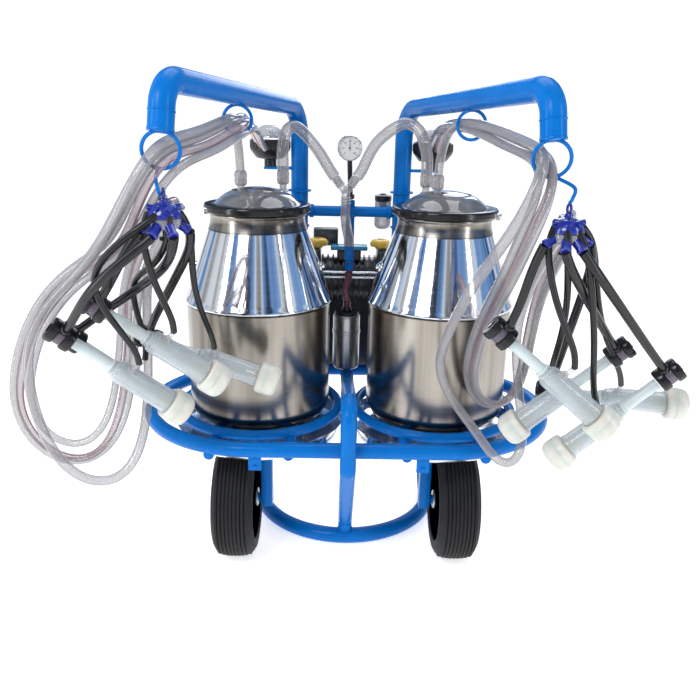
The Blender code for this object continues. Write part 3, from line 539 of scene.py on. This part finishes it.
def make_short_tubes():
    for name, side in SIDES:
        for number, reach in enumerate(CLAW_ARMS[name]):
            cup = f"{name}_{number + 1}"
            away = Vector(reach).normalized()
            start = CLAWS[name] + Vector(reach) + away * GAP
            inner = [Vector(p) for p in SHORT_TUBE_WAY.get(cup, [])]
            head, ahead = cup_axis(cup)
            coupler, nipple = head - ahead * COUPLER_REACH, head - ahead * NIPPLE_REACH
            square = square_to(ahead, (inner[-1] if inner else start) - coupler)
            end = coupler + square * (COUPLER_RADIUS + GAP)
            way = [start, start + away * 0.012, *inner, end + square * 0.014, end]
            hose(f"short_tube_{cup}_skin", way, 0.0075, RUBBER, f"short_tube_{cup}")
            low = (away + vec(0, 0, 0.35)).normalized()
            begin = CLAWS[name] + vec(0, 0, 0.008) + low * 0.024
            off = vec(0.012 * side, 0.012, 0.006)
            passing = [p + off for p in inner] or [begin.lerp(nipple, 0.42) + vec(0, -0.012, -0.012)]
            face = square_to(ahead, passing[-1] - nipple)
            stop = nipple + face * 0.046
            way = [begin, begin + low * 0.016, *passing, stop + face * 0.016, stop]
            hose(f"pulse_tube_{cup}", way, 0.0055, RUBBER)
            make_cup(cup, head, ahead, nipple, face, square)


def square_to(axis, towards):
    """The direction square to the axis that leans the given way."""
    return (towards - axis * towards.dot(axis)).normalized()


def make_cup(cup, head, ahead, nipple, square, entry):
    at = {"place": head, "axis": ahead}
    profile = curve_profile(pairs("""
        118 120  125 185  160 205  225 196  280 145  305 70  308 -30  306 -125  290 -185  240 -205  200 -190
        """), 0.002)
    hood = Shape().lathe(profile + pairs("150 -190  118 -1000  112 -200"), steps=48, closed=True, **at)
    hood.lathe(pairs("307 -35  311 -45  307 -55"), steps=48, **at)
    hood.piece(f"liner_head_{cup}", IVORY, nodes=f"teat_cup_{cup}")
    liner = pairs("""
        142 -195  138 -700  126 -1180  112 -1250  112 -1300  136 -1315  136 -1345  112 -1360  112 -1385
        130 -1400  130 -1425  105 -1445  101 -1900  101 -2140""")
    Shape().lathe(liner, steps=36, **at).piece(f"liner_{cup}", MILKY)
    shell = pairs("""
        212 -210  222 -225  222 -265  213 -285  207 -900  204 -1200  196 -1275  172 -1315  145 -1335
        140 -1385  132 -1390""")
    Shape().lathe(thick(shell, 0.0016), steps=48, closed=True, **at).piece(f"shell_{cup}", SHELL)
    stub = Shape().rod(nipple + square * 0.019, nipple + square * 0.047, 0.0042)
    stub.lathe(pairs("42 0  75 10  80 40  60 80  42 90"), nipple + square * 0.0185, square, 24)
    stub.piece(f"shell_nipple_{cup}", CLEAR)
    cuffs = Shape()
    wide = COUPLER_RADIUS
    for low, high in ((-0.2318, -0.2150), (-0.2600, -0.2440)):
        half = [(0.008, 0), (0.0025, 0), (0.0006, 0.0016), (0, 0.0045)]
        cuff = [(wide - less, high - down) for less, down in half]
        cuff += [(wide - less, low + up) for less, up in reversed(half)]
        cuffs.lathe(cuff, steps=44, **at)
    tip = [(0.0005, -0.2585), (0.0070, -0.2590), (0.0080, -CUP_TAIL + 0.0005), (0.0005, -CUP_TAIL)]
    cuffs.lathe(tip, steps=24, **at)
    middle = head - ahead * COUPLER_REACH
    cuffs.lathe(pairs("98 150  102 160  102 235  92 250  78 252"), middle, entry, 28)
    cuffs.piece(f"connector_cuffs_{cup}", RUBBER)
    sight = pairs("150 -2312  172 -2325  176 -2380  172 -2435  150 -2450")
    Shape().lathe(sight, steps=40, **at).piece(f"connector_sight_{cup}", PURPLE)
    ribs = Shape()
    for turn in range(4):
        ribs.lathe(pairs("172 7  181 0  172 -7"), head - ahead * (0.2345 + 0.0024 * turn), ahead, 40)
    ribs.piece(f"connector_ribs_{cup}", BLACK)


def make_claws():
    for name, centre in CLAWS.items():
        crown = curve_profile(pairs("5 180  100 168  190 120  245 35  262 -20  262 -50"), 0.002)
        body = Shape().lathe(crown + [(0.0225, -0.0058), (0.0005, -0.0058)], centre, steps=56)
        for reach in CLAW_ARMS[name]:
            tip = centre + Vector(reach)
            out = Vector(reach).normalized()
            body.rod(centre + out * 0.008, tip, 0.0088, 0.0066, 24)
            body.lathe(pairs("68 30  84 22  84 -22  68 -30"), tip - out * 0.004, out, 24)
            flat = vec(out.x, out.y, 0).normalized()
            start, end = centre + flat * 0.012 + vec(0, 0, 0.008), centre + flat * 0.026 + vec(0, 0, 0.012)
            body.rod(start, end, 0.0052, 0.0046)
        for offset in (MILK_PORT, PULSE_PORT):
            body.rod(centre + vec(0, 0.010, offset.z), centre + offset, 0.0075, 0.0062, 24)
        body.lathe(pairs("62 0  62 55  48 75  5 80")[::-1], centre + vec(0, 0, 0.0165), steps=28)
        loop = ring_route(centre + vec(0, 0.002, 0.030), 0.0072, (1, 0.1, 0), 28)
        body.tube(loop, 0.0022, 10, closed=True)
        for spot in around(centre, 0.0225, 0.0045, 8, 0.2):
            body.bolt(spot, (0, 0, 1), 0.0016, 0.0014)
        body.piece(f"claw_crown_{name}", ROYAL, nodes=f"claw_{name}")
        bowl = curve_profile(pairs("248 -62  250 -110  235 -170  180 -222  90 -242  30 -244"), 0.002)
        Shape().lathe(thick(bowl, 0.0012), centre, steps=56, closed=True).piece(f"claw_bowl_{name}", CLEAR)
        base = centre - vec(0, 0, 0.024 + GAP)
        knob = Shape().rod(base, base - vec(0, 0, 0.010), 0.0045)
        knob.lathe(pairs("75 0  98 12  100 48  82 62  5 64"), base - vec(0, 0, 0.0098), (0, 0, -1), 32)
        knob.piece(f"claw_knob_{name}", BLACK, f"claw_button_{name}", f"claw_button_{name}")


# Trolley.
CAN_X, RAIL_TUBE, HANDLE_TUBE = 0.200, 0.016, 0.020
UPRIGHT_X, UPRIGHT_Y = 0.120, 0.170
PAN_Z = 0.2625


def racetrack(radius, height, pieces=40):
    route = []
    for side, start in ((1, -90), (-1, 90)):
        for step in range(pieces + 1):
            angle = radians(start + 180 * step / pieces)
            route.append(vec(side * CAN_X + radius * cos(angle), radius * sin(angle), height))
    return route


def weld_bead(shape, place, axis, radius):
    """A rippled ring of weld metal round a joint."""
    sizes = [0.0019 + 0.0005 * sin(18 * (tau * step / 72)) for step in range(72)]
    shape.tube(ring_route(place, radius, axis, 72), sizes, 8, closed=True)


def make_frame():
    deck = Shape().tube(racetrack(0.245, 0.316), RAIL_TUBE, 24, closed=True)
    for name, side in SIDES:
        deck.tube(ring_route((side * CAN_X, 0, 0.3155), 0.178, (0, 0, 1), 96), 0.011, 18, closed=True)
        for x in (0.120, 0.280):
            deck.tube([(side * x, -0.240, 0.300), (side * x, 0.240, 0.300)], 0.011, 18)
            for y in (-0.150, 0.150):
                weld_bead(deck, (side * x, y, 0.3085), (0, 0, 1), 0.0085)
        x = side * (0.152 if side > 0 else 0.187)
        deck.box((x - 0.013, -0.2475, 0.2700), (x + 0.013, -0.2435, 0.3040), 0.0015)
        deck.bolt((x, -0.2475, 0.2790), (0, -1, 0), 0.0042, 0.0032)
    deck.piece("deck", BLUE, nodes="platform_frame")
    for name, side in SIDES:
        pan = pairs("""
            1885 265  1905 272  1920 260  1918 240  1900 30  1880 6  1850 0  5 0  5 16  1840 18  1880 40
            1890 240""")
        Shape().lathe(pan, (side * CAN_X, 0, PAN_Z), steps=128, closed=True).piece(
            f"pan_{name}", STEEL, nodes=f"drip_pan_{name}")
    top, bend, radius, tube = PAN_Z - GAP, 0.05, 0.2125, 0.018
    half = [radians(180 + 180 * step / 56) for step in range(57)]
    arc = [vec(radius * cos(a), 0.130 + radius * sin(a), tube) for a in half]
    turns = [radians(90 * step / 12) for step in range(12)]
    rise = [(0.130 + bend * cos(a), tube + bend - bend * sin(a)) for a in turns]
    legs = []
    for side in (-1, 1):
        way = ((0.190, 0.148, top), (0.190, 0.148, 0.235), (0.200, 0.165, 0.17), (radius, 0.180, 0.068))
        high = smooth_route([(side * x, y, z) for x, y, z in way], 0.012)[:-1]
        legs.append(high + [vec(side * radius, y, z) for y, z in rise])
    loop = Shape().tube(legs[0] + arc + legs[1][::-1], tube, 26)
    loop.piece("ground_loop", BLUE, nodes="floor_loop")
    way = pairs("-825 367  -850 600  -2775 2900  -2775 4300  500 3500  2262 3257")
    corners = [(0, y, z) for y, z in way]
    foot = filleted(corners[:4], 0.020, 8)
    bent = filleted(corners[2:], 0.035, 12)
    post = Shape().tube(foot[:-1] + bent[1:], RAIL_TUBE, 24)
    weld_bead(post, (0, -0.0828, 0.0385), (0, 0, 1), 0.0155)
    post.piece("middle_post", BLUE, nodes="centre_post")
    make_handles()
    make_crossbar()


def make_handles():
    for name, side in SIDES:
        def here(p):
            return vec(side * p[0], p[1], p[2])

        corners = [here(p) for p in ((UPRIGHT_X, UPRIGHT_Y, 0.3268), (UPRIGHT_X, UPRIGHT_Y, 0.972),
                                     (0.286, -0.425, 1.000), (0.291, -0.438, 0.925))]
        route = filleted(corners[:3], 0.075, 16)[:-1] + filleted(corners[1:], 0.045, 14)[1:]
        bar = Shape().tube(route, HANDLE_TUBE, 28)
        down = (corners[3] - corners[2]).normalized()
        sleeve = corners[3] - down * 0.030
        bar.lathe(pairs("196 16  210 8  210 -8  196 -16"), sleeve, down, 40)
        bar.lathe(pairs("200 -40  208 -25  206 6  170 16  5 18"), corners[3] - down * 0.0008, down, 40)
        for height, wide in ((0.786, 0.0275), (0.704, 0.0235)):
            bar.lathe([(0.0198, 0.0030), (wide, 0.0024), (wide, -0.0010), (0.0198, -0.0024)],
                      here((UPRIGHT_X, UPRIGHT_Y, height)), (0, 0, 1), 40)
        weld_bead(bar, here((UPRIGHT_X, UPRIGHT_Y, 0.3300)), (0, 0, 1), 0.0195)
        for centre, radius, normal in (((0.292, -0.438, 0.899), 0.028, (0.2, 1, 0.2)),
                                       ((0.2145, -0.170, 0.943), 0.026, (0.3, 1, 0))):
            bar.tube(ring_route(here(centre), radius, here(normal), 56), 0.0030, 12, closed=True)
        end_x = 0.294 if side < 0 else 0.322
        hook = [(0.299, -0.4335, 0.8730), (end_x + 0.006, -0.446, 0.858), (end_x, -0.462, 0.843),
                (end_x, -0.452, 0.836)]
        bar.tube(smooth_route([here(p) for p in hook], 0.003), 0.0028, 12)
        low, high = sorted((side * 0.115, side * 0.202))
        bar.box((low, UPRIGHT_Y - 0.014, 0.834), (high, UPRIGHT_Y + 0.014, 0.840), 0.0012)
        bar.piece(f"handle_bar_{name}", BLUE, nodes=f"handle_{name}")


def make_crossbar():
    y, z = UPRIGHT_Y, 0.740
    reach = UPRIGHT_X - HANDLE_TUBE - GAP
    bar = Shape().tube([(-reach, y, z), (reach, y, z)], 0.0125, 24)
    for side in (-1, 1):
        bar.lathe(pairs("125 60  158 40  158 -40  125 -60"), (side * (reach - 0.008), y, z), (1, 0, 0), 36)
    bar.tube([(0, y, 0.600), (0, y, 0.766)], 0.0105, 22)
    bar.tube(filleted([(0, y, 0.625), (-0.003, 0.140, 0.625), (-0.003, 0.140, 0.662)], 0.014, 8), 0.0085, 20)
    bar.lathe([(0.0135, 0.012), (0.0135, -0.012)], (0, y, z), (0, 0, 1), 32)
    bar.rod((0.004, y - 0.004, z), (0.004, y - 0.030, z), 0.0098, steps=32)
    bar.lathe(pairs("105 0  120 10  120 60  105 70"), (0.004, y - 0.024, z), (0, -1, 0), 32)
    bar.piece("crossbar", BLUE, nodes="vacuum_manifold")


def make_wheels():
    axle_z, wheel_y, wheel_x, half = 0.130, -0.105, 0.243, 0.044
    reach = wheel_x + half + 0.012
    bar_z, near, far = 0.249, 0.165, 0.190
    axle = Shape().tube([(-near - 0.012, wheel_y, bar_z), (near + 0.012, wheel_y, bar_z)], 0.010, 20)
    for name, side in SIDES:
        low, high = sorted((side * near, side * far))
        axle.box((low, wheel_y - 0.016, axle_z - 0.016), (high, wheel_y + 0.016, PAN_Z - GAP), 0.003)
        axle.rod((side * (near + 0.005), wheel_y, axle_z), (side * reach, wheel_y, axle_z), 0.010, steps=32)
    axle.piece("axle_bar", BLUE, nodes="axle")
    for name, side in SIDES:
        centre = (side * wheel_x, wheel_y, axle_z)
        edge = pairs("728 335  800 385  960 432  1060 440  1180 405  1235 350")
        tread, grooves = list(edge), 9
        for rib in range(grooves):
            middle = 0.0320 - rib * 0.064 / (grooves - 1)
            crown = 0.130 - 0.0045 * (abs(middle) / 0.034) ** 3
            tread += [(crown - 0.0022, middle + 0.0036), (crown, middle + 0.0026), (crown, middle - 0.0026),
                      (crown - 0.0022, middle - 0.0036)]
        tread += [(r, -h) for r, h in reversed(edge)]
        tyre = Shape().lathe(tread, centre, (1, 0, 0), 120, closed=True)
        for wide, out in ((0.0875, 0.0408), (0.1115, 0.0428)):
            ridge = [(wide - 0.0012, out - 0.001), (wide, out + 0.0012), (wide + 0.0012, out - 0.001)]
            for face in (-1, 1):
                tyre.lathe(ridge, centre, (face, 0, 0), 96)
        tyre.piece(f"tyre_skin_{name}", TYRE, f"wheel_{name}", f"tyre_{name}")
        disc = pairs("""
            106 460  190 455  205 440  210 140  260 115  560 125  610 170  635 330  680 385  720 390  724 370
            722 330""")
        disc += [(r, -h) for r, h in reversed(disc)]
        rim = Shape().lathe(disc, centre, (1, 0, 0), 96, closed=True)
        for step in range(5):
            turn = tau * step / 5
            spot = Vector(centre) + vec(side * 0.0128, 0.040 * cos(turn), 0.040 * sin(turn))
            rim.bolt(spot, (side, 0, 0), 0.0055, 0.0045)
        rim.piece(f"rim_{name}", ZINC, f"wheel_{name}", f"wheel_rim_{name}")
        cap = Shape().lathe(pairs("150 0  150 30  125 72  5 80"),
                            (side * (reach - 0.0085), wheel_y, axle_z), (side, 0, 0), 40)
        cap.piece(f"axle_cap_{name}", BLACK)


# Cans and lids.
def make_cans():
    for name, side in SIDES:
        place = (side * CAN_X, 0, 0)
        outer = pairs("""
            990 7578  1010 7580  1032 7568  1040 7545  1032 7522  1010 7505  1005 7460  1007 7400  1022 7320
            1060 7200  1545 5860  1582 5780  1602 5740  1611 5718  1614 5700  1611 5682  1596 5668  1574 5655
            1570 5600  1570 3420  1562 3340  1530 3240  1490 3160  1445 3125  5 3125""")
        inner = pairs("5 3142  1440 3142  1545 3380  1553 5720  1040 7200  992 7340")
        can = Shape().lathe(outer + inner, place, steps=160, closed=True)
        can.piece(f"can_skin_{name}", CAN, nodes=f"can_{name}", angle=50)
        ears = Shape()
        for end in (-1, 1):
            middle = vec(side * CAN_X + end * 0.1345, 0, 0.640)
            ears.lathe(pairs("135 0  132 20  75 32  70 42"), middle, (end * 0.94, 0, 0.34), 32)
            for dz in (-0.010, 0.010):
                spot = middle + vec(end * (-0.0036 * dz / 0.010), 0, dz)
                ears.lathe(pairs("24 0  22 24  5 34"), spot, (end * 0.94, 0, 0.34), 16)
        ears.piece(f"can_ears_{name}", STEEL)
        arc = [radians(180 * step / 40) for step in range(3, 38)]
        wire = [vec(0.1412 * cos(a), 0.1412 * sin(a), 0) for a in arc]
        ends = [vec(end * 0.1412, y, 0) for end, y in ((1, 0), (1, 0.016), (-1, 0.016), (-1, 0))]
        wire = ends[:2] + wire + ends[2:]
        bail = Shape().tube([p + vec(side * CAN_X, 0, 0.640) for p in smooth_route(wire, 0.006)], 0.0026, 14)
        bail.piece(f"bail_wire_{name}", STEEL, f"bail_{name}", f"can_bail_{name}")
        make_lid(name, side)


def make_lid(name, side):
    body, base = f"lid_{name}", 0.758 + GAP
    place = (side * CAN_X, 0, base)
    band = pairs("""
        985 0  1110 0  1130 14  1138 40  1130 68  1138 95  1135 130  1115 158  1070 168  950 166  915 150
        905 120""")
    Shape().lathe(band[::-1], place, steps=128, closed=True).piece(f"lid_gasket_{name}", RUBBER, body)
    outer = curve_profile(pairs("5 500  180 494  360 470  540 420  700 345  830 245  895 185  925 165"), 0.004)
    inner = [(max(r - 0.002, 0.0005), z - 0.0028) for r, z in outer]
    dome = Shape().lathe(outer + inner[::-1], place, steps=112, closed=True)
    dome.lathe(pairs("540 436  552 426  560 408"), place, steps=96)
    # The dome's dark grey tint is painted shade from the can's dark inside.
    dome.piece(f"lid_dome_{name}", DARKENED_CLEAR, body, f"lid_{name}")
    spouts = Shape()
    for x, y in LID_NOZZLES[name]:
        spouts.lathe(pairs("55 0  125 0  125 30  82 55  76 80  76 220  86 232  76 260  76 410  55 412"),
                     (x, y, 0.7965), steps=36, closed=True)
    spouts.piece(f"lid_spouts_{name}", CLEAR, body)
    cuffs = Shape()
    for x, y in LID_NOZZLES[name]:
        cuffs.lathe(curve_profile(pairs("""
            96 0  124 30  134 90  128 150  136 200  126 260  108 300
            """), 0.002)[::-1], (x, y, 0.8120), steps=36)
    cuffs.piece(f"lid_cuffs_{name}", HOSE, body)
    clamp = Shape()
    spot = vec(side * CAN_X + (-0.098 if side < 0 else 0.104), -0.048, base)
    clamp.box(spot + vec(-0.009, -0.004, -0.004), spot + vec(0.009, 0.004, 0.010), 0.002)
    clamp.piece(f"lid_clamp_{name}", STEEL, body)


# Pump group.
def make_pump():
    y, z = 0.262, 0.560
    half = 0.070
    fins = [(0.036, half)]
    for fin in range(11):
        middle = half - 0.004 - fin * (2 * half - 0.008) / 10
        fins += [(0.0530, middle + 0.0030), (0.0595, middle + 0.0018), (0.0600, middle),
                 (0.0595, middle - 0.0018), (0.0530, middle - 0.0030)]
    motor = Shape().lathe(fins + [(0.036, -half)], (0, y, z), (1, 0, 0), 72, closed=True)
    motor.box((-0.055, 0.2290, 0.3327), (0.055, y, z - 0.035), 0.004)
    motor.box((-0.030, y - 0.036, z + 0.050), (0.030, y + 0.030, z + 0.078), 0.005)
    motor.box((-0.091, y + 0.012, z + 0.079), (-0.028, y + 0.046, z + 0.122), 0.004)
    motor.piece("motor_housing", IRON, nodes="pump_motor")
    band = Shape().box((-0.046, y - 0.040, z + 0.0765), (0.046, y - 0.004, z + 0.088), 0.003)
    band.piece("motor_band", TEAL)
    rotor = pairs("""
        5 680  62 680  70 670  70 500  320 500  330 490  330 -490  320 -500  70 -500  70 -670  62 -680  5 -680
        """)
    Shape().lathe(rotor, (0, y, z), (1, 0, 0), 40).piece("rotor_core", ZINC, "rotor", "motor_rotor")
    for name, side in SIDES:
        low, high = sorted((side * (half + 0.0005), side * 0.116))
        head = Shape().box((low, y - 0.048, z - 0.050), (high, y + 0.048, z + 0.080), 0.009, 4)
        for rib in range(6):
            level = z - 0.034 + rib * 0.017
            head.box((low + 0.004, y - 0.0515, level), (high - 0.004, y - 0.046, level + 0.0055), 0.0012, 2)
        for dy in (-0.036, 0.036):
            for dz in (-0.036, 0.062):
                head.bolt((side * 0.1155, y + dy, z + dz), (side, 0, 0), 0.0045, 0.004)
        head.piece(f"pump_end_{name}", IRON, nodes=f"pump_head_{name}")
        spot = (side * 0.078, y - 0.018, z + 0.080 + GAP)
        cap = Shape().lathe(pairs("""
            90 225  180 222  222 195  238 155  240 70  232 55  125 55  120 0  5 0  5 185  80 190
            """), spot, closed=True)
        for edge in around(spot, 0.0236, 0.0068, 18):
            cap.rod(edge, edge + vec(0, 0, 0.0088), 0.0016, steps=8)
        cap.piece(f"oil_cap_{name}", YELLOW, nodes=f"intake_cap_{name}")
        eye = Vector(spot) + vec(0, 0, 0.0192)
        Shape().lathe(pairs("85 0  82 18  40 30  5 32"), eye, steps=32).piece(f"oil_eye_{name}", BLACK)
    bars = Shape()
    for dz in (-0.006, 0.006):
        bars.tube([(-0.108, y - 0.060, z + 0.020 + dz), (0.108, y - 0.060, z + 0.020 + dz)], 0.0032, 12)
    bars.piece("motor_bars", STEEL)


def make_tank():
    x, y, z = -0.004, 0.120, 0.3685
    shell = pairs("5 1340  270 1340  300 1328  316 1300  320 1260  320 60  312 25  290 5  5 0")
    tank = Shape().lathe(shell, (x, y, z))
    tank.lathe(pairs("330 960  335 950  335 880  330 870"), (x, y, z))
    tank.piece("tank_shell", ZINC, nodes="vacuum_tank")
    lid = Shape().lathe(pairs("""
        5 1500  110 1500  120 1490  120 1400  275 1400  284 1385  284 1335  5 1335"""), (x, y, z), steps=56)
    lid.piece("tank_cap", BLACK)
    start, end = vec(0, UPRIGHT_Y, 0.600 - GAP), vec(x, y, 0.5185 + GAP)
    route = [start, start - vec(0, 0, 0.015), vec(-0.008, 0.142, 0.552), end + vec(0, 0, 0.016), end]
    Shape().tube(smooth_route(route, 0.003), 0.0085, 20).piece("tank_hose_skin", WINE, nodes="tank_hose")
    centre = (0.079, 0.2035, 0.694)
    jar = curve_profile(pairs("130 700  180 680  198 620  200 400  200 160  180 70  110 20  20 10"), 0.003)
    Shape().lathe(thick(jar, 0.0014), centre, steps=48, closed=True).piece(
        "trap_jar", CLEAR, nodes="moisture_trap")
    top = Shape().lathe(pairs("""
        5 860  60 860  75 845  140 830  200 810  205 700  190 680  100 660  60 300  5 290"""),
                        centre, steps=48)
    top.piece("trap_cap", BLACK)


def make_gauge():
    x, y, z = -0.004, 0.176, 0.884
    front = (0, -1, 0)
    case = Shape().lathe(pairs("""
        5 -240  220 -238  262 -215  272 -180  272 -30  5 -30""")[::-1], (x, y, z), front, 64)
    case.tube([(0, 0.187, 0.766 + GAP), (x, 0.187, z - 0.020)], 0.006, 20)
    case.lathe([(0.0095, 0.0), (0.0095, 0.0100)], (0, 0.187, 0.768), (0, 0, 1), 6)
    case.piece("gauge_case", BLACK, nodes="vacuum_gauge")
    bezel = Shape().lathe(pairs("""
        262 10  275 20  288 10  292 -20  290 -170  276 -180  272 -20  262 -10
        """), (x, y, z), front, 72, closed=True)
    bezel.piece("gauge_bezel", STEEL)
    Shape().lathe(pairs("262 -40  262 -28  5 -28"), (x, y, z), front, 64).piece("gauge_dial", WHITE)
    marks = Shape()
    for step in range(31):
        turn = radians(225 - 270 * step / 30)
        long = 0.0050 if step % 5 == 0 else 0.0028
        wide = 0.00042 if step % 5 == 0 else 0.00025
        out = vec(cos(turn), 0, sin(turn))
        spot = vec(x, y + 0.0025, z) + out * (0.0245 - long / 2)
        marks.rod(spot - out * long / 2, spot + out * long / 2, wide, steps=6, lip=0.0001)
    marks.piece("gauge_marks", BLACK)
    for number in range(7):
        turn = radians(225 - 270 * number / 6)
        text = bpy.data.curves.new(f"gauge_number_{number}", "FONT")
        text.body, text.size, text.extrude = str(number * 10), 0.0062, 0.0001
        text.align_x, text.align_y = "CENTER", "CENTER"
        text.materials.append(BLACK)
        obj = bpy.data.objects.new(f"gauge_number_{number}", text)
        obj.location = vec(x + 0.0155 * cos(turn), y + 0.0024, z + 0.0155 * sin(turn)) + SHIFT
        obj.rotation_euler = (radians(90), 0, 0)
        scene.collection.objects.link(obj)
        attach(obj, "frame")
    pointer = Shape().box((x - 0.0008, y + 0.0012, z - 0.006), (x + 0.0008, y + 0.0018, z + 0.012), 0.0002, 1)
    pointer.rod((x, y + 0.0015, z + 0.011), (x, y + 0.0015, z + 0.0190), 0.0008, 0.0002, 8, 0.0001)
    pointer.lathe(pairs("28 -22  28 -8  16 0"), (x, y + 0.0002, z), front, 24)
    pointer.piece("gauge_pointer", BLACK, "needle", "gauge_needle", slot="black_rubber")
    glass = curve_profile(pairs("270 6  200 14  100 20  5 22"), 0.004)
    clear = surface("gauge_glass", (0.9, 0.92, 0.94), 0.04, vary=0.02, coat=1.0, alpha=0.10, edge=0.35)
    Shape().lathe(glass + [(0.0005, 0.0016), (0.0265, -0.0002)], (x, y, z), front, 64, closed=True).piece(
        "gauge_lens", clear, slot="clear_plastic")


def make_pulsators():
    for name, side in SIDES:
        place = vec(side * 0.188, UPRIGHT_Y, 0.846)
        body = Shape().lathe(pairs("""
            5 560  330 560  430 548  456 530  460 500  460 330  450 300  335 150  300 125  150 100  140 90
            140 -55  5 -55"""), place)
        for edge in around(place, 0.0455, 0.0345, 28):
            body.rod(edge, edge + vec(0, 0, 0.0160), 0.0016, steps=8)
        spout = PULSE_SPOUT[name]
        body.tube([(spout[0], UPRIGHT_Y - 0.02, spout[2]), spout], 0.0055, 16)
        body.lathe([(0.0085, 0.0), (0.0085, 0.008)], (spout[0], UPRIGHT_Y - 0.040, spout[2]), (0, -1, 0), 24)
        body.piece(f"pulsator_base_{name}", BLACK, nodes=f"pulsator_{name}")
        dome = curve_profile(pairs("5 855  120 848  240 800  330 700  375 600  385 562"), 0.003)
        Shape().lathe(dome + pairs("355 562  300 690  220 775  110 820  5 828"),
                      place, steps=56, closed=True).piece(f"pulsator_dome_{name}", CLEAR)
        works = Shape()
        works.lathe(pairs("5 790  80 788  95 770  95 640  180 630  200 600  200 560"), place, steps=32)
        works.lathe(pairs("400 556  420 572  440 556"), place, steps=56)
        for spot in around(place, 0.0405, 0.0552, 4, 0.5):
            works.bolt(spot, (0, 0, 1), 0.0026, 0.002)
        works.piece(f"pulsator_works_{name}", STEEL)


def make_vacuum_hoses():
    centre, foot = vec(-0.012, 0.105, 0.790), vec(-0.012, 0.105, 0.762)
    arms = {"left": vec(-0.036, 0.104, 0.822), "right": vec(0.012, 0.104, 0.824)}
    body = Shape().tube([centre + vec(0, 0, 0.004), foot], 0.0095, 28)
    ribs = Shape()
    for name, end in arms.items():
        out = (end - centre).normalized()
        body.tube([centre, end], 0.0085, 24)
        for ring in range(4):
            ribs.lathe(pairs("86 22  112 8  112 -8  86 -22"), end - out * (0.004 + 0.0055 * ring), out, 32)
    for ring in range(3):
        ribs.lathe(pairs("96 22  118 8  118 -8  96 -22"),
                   foot + vec(0, 0, 0.004 + 0.006 * ring), (0, 0, 1), 32)
    body.piece("y_body", CLEAR, nodes="y_piece")
    ribs.piece("y_ribs", CLEAR)
    low = vec(-0.003, 0.140, 0.662 + GAP)
    drops = [foot - vec(0, 0, drop) for drop in (GAP, 0.008, 0.030)]
    route = drops + [(-0.008, 0.128, 0.705), low + vec(0, 0, 0.018), low + vec(0, 0, 0.006), low]
    Shape().tube(smooth_route(route, 0.004), 0.0115, 24).piece(
        "main_hose_skin", HOSE, nodes="main_vacuum_hose")
    for name, arm in arms.items():
        x, y = LID_NOZZLES[name][0]
        away = (arm - centre).normalized()
        start, end = vec(x, y, NOZZLE_TOP + GAP), arm + away * GAP
        way = [start, start + vec(0, 0, 0.02), *ARCH_TOPS[name], end + away * 0.018, end]
        route = smooth_route(way, 0.006)
        obj = Shape().tube(route, 0.0125, 26).piece(f"arch_skin_{name}", HOSE, nodes=f"arch_hose_{name}",
                                                    ride=False)
        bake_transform(obj)


def make_floor():
    bpy.ops.mesh.primitive_plane_add(size=90)
    floor = bpy.context.object
    floor.name = "floor"
    floor.data.materials.append(surface("floor_paint", (0.90, 0.90, 0.90), 0.60, vary=0.01, grain=3,
                                        Emission_Color=(1, 1, 1, 1), Emission_Strength=0.62))


make_long_hoses()
make_short_tubes()
make_claws()
make_frame()
make_wheels()
make_cans()
make_pump()
make_tank()
make_gauge()
make_pulsators()
make_vacuum_hoses()
make_floor()
